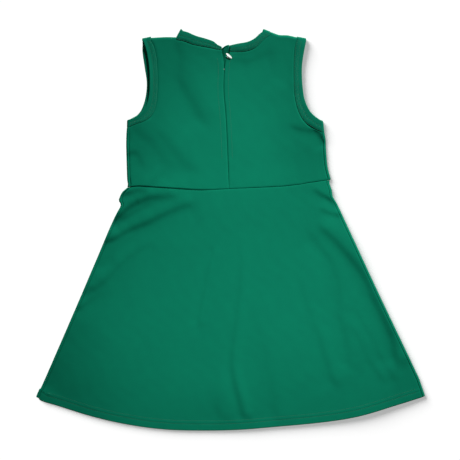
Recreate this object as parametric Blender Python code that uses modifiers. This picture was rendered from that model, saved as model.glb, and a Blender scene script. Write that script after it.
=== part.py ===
"""Child's sleeveless dress in dense double knit, laid flat on a table with its back side up.

Sizes in this file are millimetres and become metres when a mesh is made. X runs across the dress,
Y from the hem to the shoulders and Z up from the table. The origin is on the table, under the
middle of the dress. "Left" is the -X side, which is the wearer's left.
"""
import math
from collections import namedtuple

import bmesh
import bpy
from mathutils import Matrix, Vector

MM = 0.001

# Cloth and sewing sizes
CLOTH = 1.2
HEM_THICKNESS = 2.2
HEM_DEPTH = 15.0
HEM_STEP = 0.8
BAND_THICKNESS = 2.2
SEAM_GAP = 0.3
FRONT_HEM_LIFT = 1.5
SHOULDER_SEAM_DEPTH = 8.0

# Cells of the cloth grids
SHOULDER_CELLS = 4
NECK_CELLS = 10
SIDE_CELLS = 6
ARMHOLE_CELLS = 10
SCOOP_CELLS = 8
SKIRT_COLUMNS = 54
SKIRT_ROWS = 21
SKIRT_TOP_ROWS = 5
SKIRT_TOP_SHARE = 0.88

# How the front wraps round a side edge up to its seam on the back, from the seam to the table:
# depth in from the edge, share of the height there, and slope of the cloth in degrees
RollSection = namedtuple("RollSection", "depth height slope")
SEAM_DEPTH = 4.5
ROLL = (
    RollSection(SEAM_DEPTH, 1.00, 90),
    RollSection(2.2, 0.95, 66),
    RollSection(0.6, 0.76, 32),
    RollSection(0.0, 0.50, 0),
    RollSection(0.6, 0.20, -40),
    RollSection(2.6, 0.00, -90),
)
ROLL_CELLS = len(ROLL) - 1

# Outline of the laid dress, as points of smooth curves
LEFT_SKIRT_SIDE = ((-291.8, -250.2), (-286.5, -238), (-280.5, -228), (-227, -105), (-182, 1), (-170.6, 25),
                   (-164.5, 37), (-167.5, 44), (-166, 49.5), (-162.5, 56.4), (-154.7, 63.6))
RIGHT_SKIRT_SIDE = ((291.8, -248.5), (284.7, -228), (277, -210), (222, -94.5), (167, 24), (160, 39),
                    (153.6, 50), (152, 60), (148.5, 70), (149.2, 74.2))
LEFT_BODICE_SIDE = ((-154.4, 64), (-153.8, 70), (-155, 78), (-156.4, 123), (-156.2, 142), (-155.4, 154))
RIGHT_BODICE_SIDE = ((149.3, 74.6), (150.4, 77), (148.7, 82.5), (145.5, 97), (143.5, 120), (143, 134), (141, 146))
SKIRT_SIDE_LEAN = math.radians(23.4)
HEM = ((-287.7, -252), (-283, -257.4), (-259, -264.5), (-205, -281), (-151, -293), (-97, -300), (-43, -301.6),
       (11, -300.4), (65, -296), (137, -289), (191, -280), (245, -264.3), (287.7, -250.4))
LEFT_WAIST = ((-150, 63.9), (-136, 65), (-113, 63.6), (-83, 61.8), (-46, 59.5), (-23, 60.2), (-1.2, 61.4))
RIGHT_WAIST = ((-1.2, 61.4), (29, 62.7), (59, 64.3), (89, 68), (119, 72.5), (144.8, 74.4))

# Centre back: edges of the two back pieces from the waist up, sewn to y = 105 and open above
LEFT_SLIT = ((-1.2, 61.4), (-6.4, 162), (-9.4, 238), (-10.2, 250), (-12.0, 261), (-13.8, 269.0))
RIGHT_SLIT = ((-1.2, 61.4), (-6.2, 162), (-8.8, 240), (-7.4, 254.2), (-3.6, 260.4), (0.0, 266.0))

# Neck seams and free edges of the neck band on the back, from the slit to the shoulder fold
LEFT_NECK_SEAM = ((-13.8, 269.2), (-34, 273), (-46, 275), (-58, 277.5), (-68.2, 281.5), (-81.5, 284.7))
LEFT_NECK_EDGE = ((-12.8, 274.2), (-20, 278.1), (-25.5, 282.6), (-38, 287), (-52, 291), (-63.8, 296.2), (-70.5, 298))
RIGHT_NECK_SEAM = ((0.0, 266.2), (14, 266.1), (26, 267.6), (37, 272.1), (44.2, 278.7), (51.8, 286.4), (60.3, 292.2))
RIGHT_NECK_EDGE = ((0.3, 276.6), (11, 279), (23, 281.1), (32, 284.4), (38.6, 288.9), (43.2, 293.5), (47.8, 296.8))
# Seam and free edge of the neck band round the front, from left shoulder seam to right shoulder seam
FRONT_NECK_SEAM = ((-81.4, 281.2), (-74, 268), (-62, 250), (-40, 234), (-9, 227), (20, 231), (40, 243),
                   (52, 260), (58, 276), (60.3, 288.7))
FRONT_NECK_EDGE = ((-68.4, 295.2), (-63, 275.4), (-53, 259), (-35, 246), (-9, 240), (16, 243.4), (31.5, 252.8),
                   (40.5, 266), (45.5, 279.5), (46.5, 293.6))

# Top outline of the shoulders, from the armhole to the neck
LEFT_SHOULDER = ((-119.2, 288.3), (-98, 289.5), (-81.5, 289.2))
RIGHT_SHOULDER = ((60.3, 297), (73, 292.6), (86, 291.9), (99.5, 288.8))

# Armhole seams and free edges of the armhole bands, from the underarm to the shoulder
LEFT_BACK_ARM_SEAM = ((-150.9, 154), (-141.8, 158.1), (-127.8, 163.1), (-116.2, 173.2), (-110.5, 192), (-108.8, 222),
                      (-110, 252), (-114.1, 273.5), (-119.2, 283.8))
LEFT_BACK_ARM_EDGE = ((-150.9, 165.9), (-146.2, 168), (-136.5, 172.8), (-128.7, 181.5), (-122.9, 196.6),
                      (-121, 216.5), (-121.6, 241), (-125.2, 265.6), (-130.2, 282.1))
LEFT_FRONT_ARM_SEAM = ((-152.8, 154), (-143.5, 157.5), (-131.5, 165), (-121.5, 180), (-115.5, 201), (-114.2, 222),
                       (-117.3, 245), (-119.6, 267.5), (-119.6, 280.3))
LEFT_FRONT_ARM_EDGE = ((-152.8, 165.4), (-147.8, 168), (-139, 173.4), (-131.9, 184.5), (-127, 202.5), (-125.7, 222),
                       (-128.9, 244.5), (-132.1, 267), (-132, 278))
RIGHT_BACK_ARM_SEAM = ((136.5, 146), (126.8, 150), (113.2, 159), (102.6, 174.8), (96.5, 196.6), (94.8, 221.4),
                       (94.8, 253.5), (96.2, 274), (99.5, 284.3))
RIGHT_BACK_ARM_EDGE = ((134.7, 164.6), (128.2, 168.8), (118.5, 178.5), (111.2, 195), (108.2, 213), (107, 232.5),
                       (107.5, 249), (110.2, 267), (113.2, 282.1))
RIGHT_FRONT_ARM_SEAM = ((138.4, 146), (127.4, 150), (113.6, 159), (103, 174.8), (97, 196.6), (95, 221.4),
                        (95, 253.5), (97.6, 270), (99.9, 280.8))
RIGHT_FRONT_ARM_EDGE = ((136.7, 163.9), (128, 168.6), (118.3, 178.5), (111, 195), (108, 213), (106.8, 232.5),
                        (107.3, 249), (110, 267), (111.8, 278.6))

# Where each band rolls over an edge: ends of the fold on its seam and on its free edge, each with
# the direction from there into the dress
BandFold = namedtuple("BandFold", "seam seam_inward edge edge_inward")
LEFT_ARM_SHOULDER = BandFold((-119.35, 290.2), (0, -1), (-132.2, 287.4), (0, -1))
LEFT_ARM_UNDER = BandFold((-155.4, 154.15), (1, 0), (-155.2, 164.5), (0.95, 0.31))
RIGHT_ARM_SHOULDER = BandFold((99.65, 290), (0, -1), (113.4, 287.4), (0, -1))
RIGHT_ARM_UNDER = BandFold((141, 146.15), (-1, 0), (139, 163.2), (-0.95, 0.31))
LEFT_NECK_FOLD = BandFold((-81.3, 289.6), (0, -1), (-74.2, 302.2), (0.6, -0.8))
RIGHT_NECK_FOLD = BandFold((60.1, 297.5), (0, -1), (49.4, 301.7), (-0.37, -0.93))
# Rim of the left armhole band, which stands up beside the back of the dress
LEFT_RIM_RISE = 2.8
BAND_ACROSS = (0.0, 0.1, 0.5, 0.9, 1.0)
BAND_SOFTNESS = (0.15, 0.0, 0.0, 0.0, 0.55)

# Height of the upper side of the dress above the table, from the hem up
Loft = namedtuple("Loft", "y height")
LOFT = (Loft(-302, 6.3), Loft(-284, 6.1), Loft(-200, 5.7), Loft(0, 6.0), Loft(62, 6.5), Loft(110, 6.0),
        Loft(160, 6.1), Loft(225, 5.7), Loft(262, 5.2), Loft(302, 5.4))
EDGE_DROP = 0.8
EDGE_DROP_WIDTH = 18.0
LEAST_HEIGHT = 3.2
LEAST_HEM_HEIGHT = 4.9

# Folds of the back, each along a smooth line of points: the cloth stands up on the left of the line, as
# seen when walking along it, by the crest share of the depth, and lies down on its right by the rest
Fold = namedtuple("Fold", "name width depth_start depth_end crest points")
FOLDS = (
    Fold("below left neck", 11, 1.2, 1.6, 0.4, ((-80, 282), (-76, 254), (-75, 226), (-63, 198), (-46, 174))),
    Fold("left shoulder blade", 10, 0.9, 1.2, 0.4, ((-62, 226), (-48, 204), (-34, 184), (-24, 166))),
    Fold("left underarm to waist", 11, 1.8, 1.4, 0.4, ((-148, 156), (-128, 138), (-112, 120), (-92, 98))),
    Fold("middle of left back", 10, 1.3, 1.3, 0.4, ((-98, 144), (-82, 124), (-66, 102))),
    Fold("left side of bodice", 8, 1.2, 0.9, 0.3, ((-154, 113), (-145, 116), (-137, 110), (-132, 97))),
    Fold("below right neck", 8, 1.0, 1.0, 0.2, ((2, 261), (26, 254), (50, 264))),
    Fold("beside right armhole", 9, 1.8, 1.3, 0.5, ((92, 276), (86, 252), (80, 226))),
    Fold("right underarm", 8, 1.6, 2.8, 0.3, ((98, 160), (110, 152), (126, 146), (134, 138), (143, 129))),
    Fold("left waist fan, tuck", 7, 1.6, 1.0, 0.3, ((-158, 58), (-140, 57), (-122, 60))),
    Fold("left waist fan, upper", 8, 5.0, 1.8, 0.5, ((-176, 8), (-168, 19), (-148, 36), (-120, 48), (-84, 52))),
    Fold("left waist fan, lower", 9, 4.6, 2.0, 0.5, ((-190, -24), (-167, -8), (-140, 6), (-107, 22), (-70, 37))),
    Fold("left hip", 9, 3.6, 1.2, 0.5, ((-218, -96), (-181, -69), (-162, -50), (-128, -26))),
    Fold("left flare", 16, 1.6, 1.0, 0.4, ((-250, -160), (-215, -120), (-180, -96))),
    Fold("lower left corner", 20, 3.4, 2.0, 0.3, ((-282, -222), (-262, -196), (-244, -168))),
    Fold("centre", 10, 0.8, 1.6, 0.5, ((16, -40), (14, -90), (7, -150), (3, -192), (8, -222), (28, -268))),
    Fold("right of centre", 14, 0.5, 1.2, 0.5, ((44, -120), (46, -190), (52, -262))),
    Fold("right panel, inner", 10, 0.5, 1.8, 0.5, ((104, -76), (120, -126), (135, -168), (144, -194), (164, -220))),
    Fold("right panel, middle", 10, 1.6, 1.5, 0.5, ((127, -14), (146, -40), (160, -66), (166, -98), (166, -130))),
    Fold("right flare", 10, 2.0, 5.2, 0.5, ((114, 8), (146, -6), (175, -36), (191, -56), (205, -80), (214, -102),
                                            (230, -135), (242, -162), (256, -200))),
    Fold("right waist tuck", 7, 1.2, 2.6, 0.5, ((129, 58), (138, 52), (150, 46), (161, 37))),
    Fold("under the button", 6, 1.5, 1.5, 0.0, ((-4, 262.5), (-1.4, 260), (1.2, 257.5))),
)
# How much wider a fold's outer sides are than its flank, and how far it runs on past its ends
FOLD_SPREAD = 2.6
FOLD_FADE = 1.4
FOLD_STEPS = 12

# Neck fastening
BUTTON_DIAMETER = 11.4
BUTTON_THICKNESS = 2.6
BUTTON_RIM = 1.0
SHANK_DIAMETER = 3.2
SHANK_LENGTH = 1.8
BUTTON_CENTRE = (-1.4, 260.2)
BUTTON_LEAN = math.radians(70)
BUTTON_TURN = math.radians(45)
BUTTON_FOOT = 0.3
LOOP_DIAMETER = 2.2
LOOP_ROUTE = ((-12.2, 271.4), (-8.6, 273.9), (-4.6, 275.6), (-3.0, 273.4), (-4.2, 268.6), (-6.2, 264.2),
              (-7.7, 260.6), (-8.0, 258.4))
LOOP_POINTS = 14
UNDERLAP_DROP = 2.6
UNDERLAP_LEFT = ((-11.9, 243), (-13.4, 250), (-13.2, 258), (-11.9, 266), (-11.8, 273.2))
UNDERLAP_TOP = ((-11.8, 273.2), (-7.2, 275.6), (-3.2, 277.6), (-0.4, 275.6), (3, 275.2))
UNDERLAP_RIGHT = ((2.4, 243), (2.6, 250), (2.8, 258), (3, 266), (3, 275.2))
UNDERLAP_COLUMNS = 6
UNDERLAP_ROWS = 5

# Colours from the photo, sRGB
GREEN_KNIT = (0.045, 0.44, 0.335)
PEARL = (0.93, 0.94, 0.93)


def clear_scene():
    for item in list(bpy.data.objects):
        bpy.data.objects.remove(item, do_unlink=True)


def linear(channel):
    return channel / 12.92 if channel <= 0.04045 else ((channel + 0.055) / 1.055) ** 2.4


def plain_material(name, colour, roughness):
    material = bpy.data.materials.new(name)
    material.use_nodes = True
    shader = material.node_tree.nodes["Principled BSDF"]
    shader.inputs["Base Color"].default_value = [linear(c) for c in colour] + [1.0]
    shader.inputs["Roughness"].default_value = roughness
    shader.inputs["Metallic"].default_value = 0.0
    return material


def mix(a, b, share):
    return Vector(a).lerp(Vector(b), share)


def even(count):
    """Shares from 0 to 1 in even steps."""
    return [step / count for step in range(count + 1)]


def smooth_line(points, shares):
    """Points at the given shares of the length of a smooth curve through the given points."""
    knots = [Vector(p) for p in points]
    knots = [2 * knots[0] - knots[1]] + knots + [2 * knots[-1] - knots[-2]]
    fine = []
    for a, b, c, d in zip(knots, knots[1:], knots[2:], knots[3:]):
        for step in range(16):
            t = step / 16
            fine.append(0.5 * (2 * b + (c - a) * t + (2 * a - 5 * b + 4 * c - d) * t ** 2
                               + (3 * b - 3 * c + d - a) * t ** 3))
    fine.append(knots[-2])
    lengths = [0.0]
    for a, b in zip(fine, fine[1:]):
        lengths.append(lengths[-1] + (b - a).length)
    line = []
    place = 0
    for share in shares:
        target = share * lengths[-1]
        while place < len(fine) - 2 and lengths[place + 1] < target:
            place += 1
        span = lengths[place + 1] - lengths[place]
        line.append(fine[place].lerp(fine[place + 1], (target - lengths[place]) / span))
    return line


def moved_sideways(line, distance):
    """The line moved to its left by a distance, as seen when walking along it."""
    moved = []
    for index, point in enumerate(line):
        along = (line[min(index + 1, len(line) - 1)] - line[max(index - 1, 0)]).normalized()
        moved.append(point + Vector((-along.y, along.x)) * distance)
    return moved


def table_value(table, position):
    """Value between the rows of a two-column table, sorted by its first column."""
    if position <= table[0][0]:
        return table[0][1]
    for low, high in zip(table, table[1:]):
        if position <= high[0]:
            return low[1] + (high[1] - low[1]) * (position - low[0]) / (high[0] - low[0])
    return table[-1][1]


def side_table(skirt, bodice):
    return sorted((y, x) for x, y in skirt + bodice)


LEFT_SIDE_BY_Y = side_table(LEFT_SKIRT_SIDE, LEFT_BODICE_SIDE)
RIGHT_SIDE_BY_Y = side_table(RIGHT_SKIRT_SIDE, RIGHT_BODICE_SIDE)


FOLD_LINES = [smooth_line(fold.points, even(FOLD_STEPS)) for fold in FOLDS]


def beside_line(line, place):
    """How far a place is to the left of a line and past its ends, and the share of the line beside it."""
    best = None
    for index, (a, b) in enumerate(zip(line, line[1:])):
        along = (b - a).normalized()
        reach = (place - a).dot(along)
        inside = min(max(reach, 0.0), (b - a).length)
        off = place - a - along * inside
        if best is None or off.length < best[0]:
            left = along.x * off.y - along.y * off.x
            best = (off.length, left, reach - inside, (index + inside / (b - a).length) / (len(line) - 1))
    return best[1:]


def fold_rise(fold, line, place):
    """How far a fold lifts the cloth at a place: its crest less its trough, each with a wide outer side."""
    left, past, share = beside_line(line, place)
    half = 0.6 * fold.width
    crest = (left - half) / (FOLD_SPREAD * fold.width if left > half else fold.width)
    trough = (left + half) / (FOLD_SPREAD * fold.width if left < -half else fold.width)
    shape = fold.crest * math.exp(-crest ** 2) - (1 - fold.crest) * math.exp(-trough ** 2)
    depth = fold.depth_start + (fold.depth_end - fold.depth_start) * share
    return depth * shape * math.exp(-(past / (FOLD_FADE * fold.width)) ** 2)


def height(place):
    """Height of the upper face of the dress above the table."""
    place = Vector(place[:2])
    top = table_value(LOFT, place.y)
    inset = min(place.x - table_value(LEFT_SIDE_BY_Y, place.y), table_value(RIGHT_SIDE_BY_Y, place.y) - place.x)
    top -= EDGE_DROP * math.exp(-(max(inset, 0.0) / EDGE_DROP_WIDTH) ** 2)
    top += sum(fold_rise(fold, line, place) for fold, line in zip(FOLDS, FOLD_LINES))
    above_hem = place.y - table_value(HEM, place.x)
    near_hem = min(1.0, max(0.0, (2 * HEM_DEPTH - above_hem) / HEM_DEPTH))
    least = LEAST_HEIGHT + (LEAST_HEM_HEIGHT - LEAST_HEIGHT) * near_hem
    return 0.5 * (top + least + math.sqrt((top - least) ** 2 + 0.16))


def cloth_grid(bottom, top, left, right):
    """Function giving the points of a grid stretched between four edges that meet at their corners."""
    columns, rows = len(bottom) - 1, len(left) - 1

    def shares(one, other):
        total = []
        for line in (one, other):
            lengths = [0.0]
            for a, b in zip(line, line[1:]):
                lengths.append(lengths[-1] + (b - a).length)
            total.append([length / lengths[-1] for length in lengths])
        return [(a + b) / 2 for a, b in zip(*total)]

    across, up = shares(bottom, top), shares(left, right)

    def point(i, j):
        u, v = across[i], up[j]
        corners = ((bottom[0] * (1 - u) + bottom[columns] * u) * (1 - v)
                   + (top[0] * (1 - u) + top[columns] * u) * v)
        return (bottom[i] * (1 - v) + top[i] * v) + (left[j] * (1 - u) + right[j] * u) - corners

    return point


def wall(name, columns, rows, faces_of, material, keep=None, ring=False):
    """A closed wall of cloth over a grid; faces_of(i, j) gives the outer and inner point of a grid corner."""
    bm = bmesh.new()
    column = bm.verts.layers.int.new("column")
    row = bm.verts.layers.int.new("row")
    bmesh.ops.create_grid(bm, x_segments=columns, y_segments=rows, size=0.5)
    for vert in bm.verts:
        vert[column] = round((vert.co.x + 0.5) * columns)
        vert[row] = round((vert.co.y + 0.5) * rows)
    if keep:
        unused = [face for face in bm.faces
                  if not keep(min(v[column] for v in face.verts), min(v[row] for v in face.verts))]
        bmesh.ops.delete(bm, geom=unused, context="FACES")
    for vert in bm.verts:
        vert.co = faces_of(vert[column], vert[row])[0]
    if ring:
        bmesh.ops.remove_doubles(bm, verts=bm.verts, dist=0.001)
    inner = bmesh.ops.extrude_face_region(bm, geom=bm.faces[:])["geom"]
    for vert in inner:
        if isinstance(vert, bmesh.types.BMVert):
            vert.co = faces_of(vert[column], vert[row])[1]
    bmesh.ops.recalc_face_normals(bm, faces=bm.faces)
    bmesh.ops.scale(bm, vec=(MM, MM, MM), verts=bm.verts)
    mesh = bpy.data.meshes.new(name)
    bm.to_mesh(mesh)
    bm.free()
    return add_object(name, mesh, material)


def add_object(name, data, material):
    made = bpy.data.objects.new(name, data)
    data.materials.append(material)
    dress.objects.link(made)
    return made


def upper_faces(place, thickness):
    """Outer and inner point of cloth that lies on top."""
    top = height(place)
    return Vector((place.x, place.y, top)), Vector((place.x, place.y, top - thickness))


def lower_faces(place, thickness):
    """Outer and inner point of cloth that lies on the table."""
    return Vector((place.x, place.y, 0.0)), Vector((place.x, place.y, thickness))


def roll_faces(edge, inward, section, thickness, soft=0.0):
    """Outer and inner point of cloth that wraps round the edge of the dress."""
    inward = Vector(inward).normalized()
    top = height(Vector(edge) + inward * SEAM_DEPTH)
    place = Vector(edge) + inward * section.depth
    slope = math.radians(section.slope)
    inside = Vector((inward.x * math.cos(slope), inward.y * math.cos(slope), -math.sin(slope)))
    outer = Vector((place.x, place.y, section.height * top))
    return outer + inside * soft, outer + inside * (thickness - soft)


def skirt_rows():
    """Shares of the side seam at which the skirt's rows lie, with a narrow row where the hem ends."""
    hem_share = HEM_DEPTH / 341.0
    step_share = (HEM_DEPTH + HEM_STEP) / 341.0
    lower = [step_share + (SKIRT_TOP_SHARE - step_share) * s for s in even(SKIRT_ROWS)]
    upper = [SKIRT_TOP_SHARE + (1 - SKIRT_TOP_SHARE) * s for s in even(SKIRT_TOP_ROWS)]
    return [0.0, hem_share] + lower + upper[1:]


def skirt_inward(sign, share):
    """Direction from the skirt's side into the dress; sign is 1 on the left and -1 on the right."""
    lean = SKIRT_SIDE_LEAN * (1 - share)
    return Vector((sign * math.cos(lean), -math.sin(lean)))


def skirt_sides():
    shares = skirt_rows()
    left, right = smooth_line(LEFT_SKIRT_SIDE, shares), smooth_line(RIGHT_SKIRT_SIDE, shares)
    return shares, left, right


def make_back_skirt(material):
    shares, left, right = skirt_sides()
    seam = SEAM_DEPTH + SEAM_GAP / 2
    left = [edge + skirt_inward(1, share) * seam for edge, share in zip(left, shares)]
    right = [edge + skirt_inward(-1, share) * seam for edge, share in zip(right, shares)]
    half = even(SKIRT_COLUMNS // 2)
    waist = smooth_line(LEFT_WAIST, half) + smooth_line(RIGHT_WAIST, half)[1:]
    top = [point - Vector((0, SEAM_GAP / 2)) for point in waist]
    top[0], top[-1] = left[-1], right[-1]
    bottom = smooth_line(HEM, even(SKIRT_COLUMNS))
    bottom[0], bottom[-1] = left[0], right[0]
    point = cloth_grid(bottom, top, left, right)

    def faces_of(i, j):
        return upper_faces(point(i, j), HEM_THICKNESS if j <= 1 else CLOTH)

    return wall("back_skirt", SKIRT_COLUMNS, len(shares) - 1, faces_of, material)


def make_front_skirt(material):
    shares, left, right = skirt_sides()
    flat = ROLL[-1].depth
    flat_left = [edge + skirt_inward(1, share) * flat for edge, share in zip(left, shares)]
    flat_right = [edge + skirt_inward(-1, share) * flat for edge, share in zip(right, shares)]
    columns = 2 * SHOULDER_CELLS + SCOOP_CELLS
    waist = smooth_line((flat_left[-1],) + LEFT_WAIST[1:] + RIGHT_WAIST[1:-1] + (flat_right[-1],), even(columns))
    top = [point - Vector((0, SEAM_GAP / 2)) for point in waist]
    top[0], top[-1] = flat_left[-1], flat_right[-1]
    bottom = []
    for share, point in zip(even(columns), smooth_line(HEM, even(columns))):
        bottom.append(point + Vector((0, FRONT_HEM_LIFT * math.sin(math.pi * share) ** 0.3)))
    bottom[0], bottom[-1] = flat_left[0], flat_right[0]
    point = cloth_grid(bottom, top, flat_left, flat_right)
    last = ROLL_CELLS + columns

    def faces_of(i, j):
        thickness = HEM_THICKNESS if j <= 1 else CLOTH
        if i < ROLL_CELLS:
            return roll_faces(left[j], skirt_inward(1, shares[j]), seam_section(ROLL[i]), CLOTH)
        if i > last:
            return roll_faces(right[j], skirt_inward(-1, shares[j]), seam_section(ROLL[last - i - 1]), CLOTH)
        return lower_faces(point(i - ROLL_CELLS, j), thickness if ROLL_CELLS < i < last else CLOTH)

    return wall("front_skirt", columns + 2 * ROLL_CELLS, len(shares) - 1, faces_of, material)


def seam_section(section):
    """The roll section, held back by half the seam gap where it ends at the seam."""
    return section._replace(depth=section.depth - SEAM_GAP / 2) if section is ROLL[0] else section


def make_back_bodice(name, waist, slit, neck_seam, shoulder, arm_seam, side, sign, material):
    """Half of the bodice's back; sign is 1 on the left, where the side seam is the grid's first column."""
    rows = SIDE_CELLS + ARMHOLE_CELLS
    columns = SHOULDER_CELLS + NECK_CELLS
    gap = SEAM_GAP / 2
    inward = Vector((sign, 0))
    arm = moved_sideways(smooth_line(arm_seam, even(ARMHOLE_CELLS)), -gap * sign)
    side_seam = [edge + inward * (SEAM_DEPTH + gap) for edge in smooth_line(side, even(SIDE_CELLS))]
    outer_edge = side_seam[:-1] + arm
    slit_edge = [point - Vector((gap * sign, 0)) for point in smooth_line(slit, centre_rows(rows))]
    neck = moved_sideways(smooth_line(neck_seam, even(NECK_CELLS)), gap * sign)
    neck[0] = slit_edge[-1]
    shoulder_edge = smooth_line(shoulder, even(SHOULDER_CELLS))
    bottom = [point + Vector((0, gap)) for point in smooth_line(waist, even(columns))]
    if sign > 0:
        top = [edge - Vector((0, SEAM_DEPTH)) for edge in shoulder_edge[:-1]] + neck[::-1]
        top[0] = outer_edge[-1]
        bottom[0], bottom[-1] = outer_edge[0], slit_edge[0]
        point = cloth_grid(bottom, top, outer_edge, slit_edge)
    else:
        top = neck + [edge - Vector((0, SEAM_DEPTH)) for edge in shoulder_edge[1:]]
        top[-1] = outer_edge[-1]
        bottom[0], bottom[-1] = slit_edge[0], outer_edge[0]
        point = cloth_grid(bottom, top, slit_edge, outer_edge)
    first = 0 if sign > 0 else NECK_CELLS

    def faces_of(i, j):
        if j <= rows:
            return upper_faces(point(i, j), CLOTH)
        column = min(max(i - first, 0), SHOULDER_CELLS)
        edge = shoulder_edge[column] + Vector((gap * (1 - 2 * column / SHOULDER_CELLS), 0))
        if j <= rows + ROLL_CELLS:
            return roll_faces(edge, (0, -1), ROLL[j - rows], CLOTH)
        return lower_faces(edge - Vector((0, SHOULDER_SEAM_DEPTH)), CLOTH)

    def keep(i, j):
        return j < rows or first <= i < first + SHOULDER_CELLS

    return wall(name, columns, rows + ROLL_CELLS + 1, faces_of, material, keep)


def centre_rows(rows):
    """Shares of the centre back edge at the bodice's rows, closer together beside the neck."""
    upper_rows = 6
    lower = [0.80 * s for s in even(rows - upper_rows)]
    return lower + [0.80 + 0.20 * s for s in even(upper_rows)][1:]


def make_front_bodice(material):
    rows = SIDE_CELLS + ARMHOLE_CELLS
    columns = 2 * SHOULDER_CELLS + SCOOP_CELLS
    gap = SEAM_GAP / 2
    flat = ROLL[-1].depth
    left_side = smooth_line(LEFT_BODICE_SIDE, even(SIDE_CELLS))
    right_side = smooth_line(RIGHT_BODICE_SIDE, even(SIDE_CELLS))
    for side in (left_side, right_side):
        side[0] = side[0] + Vector((0, gap))
        side[-1] = side[-1] - Vector((0, gap))
    left_arm = moved_sideways(smooth_line(LEFT_FRONT_ARM_SEAM, even(ARMHOLE_CELLS)), -gap)
    right_arm = moved_sideways(smooth_line(RIGHT_FRONT_ARM_SEAM, even(ARMHOLE_CELLS)), gap)
    left = [edge + Vector((flat, 0)) for edge in left_side] + left_arm[1:]
    right = [edge - Vector((flat, 0)) for edge in right_side] + right_arm[1:]
    seam_drop = Vector((0, SHOULDER_SEAM_DEPTH + SEAM_GAP))
    left_shoulder = [edge - seam_drop for edge in smooth_line(LEFT_SHOULDER, even(SHOULDER_CELLS))]
    right_shoulder = [edge - seam_drop for edge in smooth_line(RIGHT_SHOULDER, even(SHOULDER_CELLS))]
    scoop = moved_sideways(smooth_line(FRONT_NECK_SEAM, even(SCOOP_CELLS)), -gap)
    top = left_shoulder + scoop[1:-1] + right_shoulder
    left[-1], right[-1] = top[0], top[-1]
    waist = LEFT_WAIST[1:] + RIGHT_WAIST[1:-1]
    bottom = smooth_line((left[0],) + waist + (right[0],), even(columns))
    bottom = [left[0]] + [point + Vector((0, gap)) for point in bottom[1:-1]] + [right[0]]
    point = cloth_grid(bottom, top, left, right)
    last = ROLL_CELLS + columns

    def faces_of(i, j):
        if i < ROLL_CELLS:
            return roll_faces(left_side[min(j, SIDE_CELLS)], (1, 0), seam_section(ROLL[i]), CLOTH)
        if i > last:
            return roll_faces(right_side[min(j, SIDE_CELLS)], (-1, 0), seam_section(ROLL[last - i - 1]), CLOTH)
        return lower_faces(point(i - ROLL_CELLS, j), CLOTH)

    def keep(i, j):
        return j < SIDE_CELLS or ROLL_CELLS <= i < last

    return wall("front_bodice", columns + 2 * ROLL_CELLS, rows, faces_of, material, keep)


# One place along a band: its seam and free edge, the layer that it lies in ("back", "front" or
# "roll"), the roll's section and inward directions, and how far the free edge stands up
BandStation = namedtuple("BandStation", "seam edge layer section seam_inward edge_inward rise")


def flat_stations(seam, edge, layer, rise=0.0):
    count = len(seam) - 1
    return [BandStation(a, b, layer, None, None, None, rise * math.sin(math.pi * index / count))
            for index, (a, b) in enumerate(zip(seam, edge))]


def roll_stations(fold, sections):
    return [BandStation(Vector(fold.seam), Vector(fold.edge), "roll", section, Vector(fold.seam_inward),
                        Vector(fold.edge_inward), 0.0) for section in sections]


def band_faces(station, share, soft):
    """Outer and inner point of a band at a share of its width, from its seam to its free edge."""
    place = mix(station.seam, station.edge, share)
    if station.layer == "roll":
        inward = mix(station.seam_inward, station.edge_inward, share)
        return roll_faces(place, inward, station.section, BAND_THICKNESS, soft)
    if station.layer == "back":
        outer, inner = upper_faces(place, BAND_THICKNESS)
        return outer - Vector((0, 0, soft)), inner + Vector((0, 0, soft))
    outer, inner = lower_faces(place, BAND_THICKNESS)
    lift = Vector((0, 0, station.rise * share ** 3))
    return outer + lift + Vector((0, 0, soft)), inner + lift - Vector((0, 0, soft))


def make_band(name, stations, material, ring=False):
    def faces_of(i, j):
        return band_faces(stations[i], BAND_ACROSS[j], BAND_SOFTNESS[j])

    return wall(name, len(stations) - 1, len(BAND_ACROSS) - 1, faces_of, material, ring=ring)


def make_armhole_band(name, sign, back_seam, back_edge, front_seam, front_edge, shoulder, underarm, rise, material):
    """Ring of folded knit round an armhole: up the back, over the shoulder, down the front and back under."""
    gap = SEAM_GAP / 2 * sign
    shares = even(ARMHOLE_CELLS)
    back = flat_stations(moved_sideways(smooth_line(back_seam, shares), gap), smooth_line(back_edge, shares), "back")
    front = flat_stations(moved_sideways(smooth_line(front_seam, shares), gap), smooth_line(front_edge, shares),
                          "front", rise)
    over_shoulder = roll_stations(shoulder, ROLL[1:])
    round_side = roll_stations(underarm, ROLL[-2:0:-1])
    stations = back + over_shoulder + front[::-1] + round_side + back[:1]
    return make_band(name, stations, material, ring=True)


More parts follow.
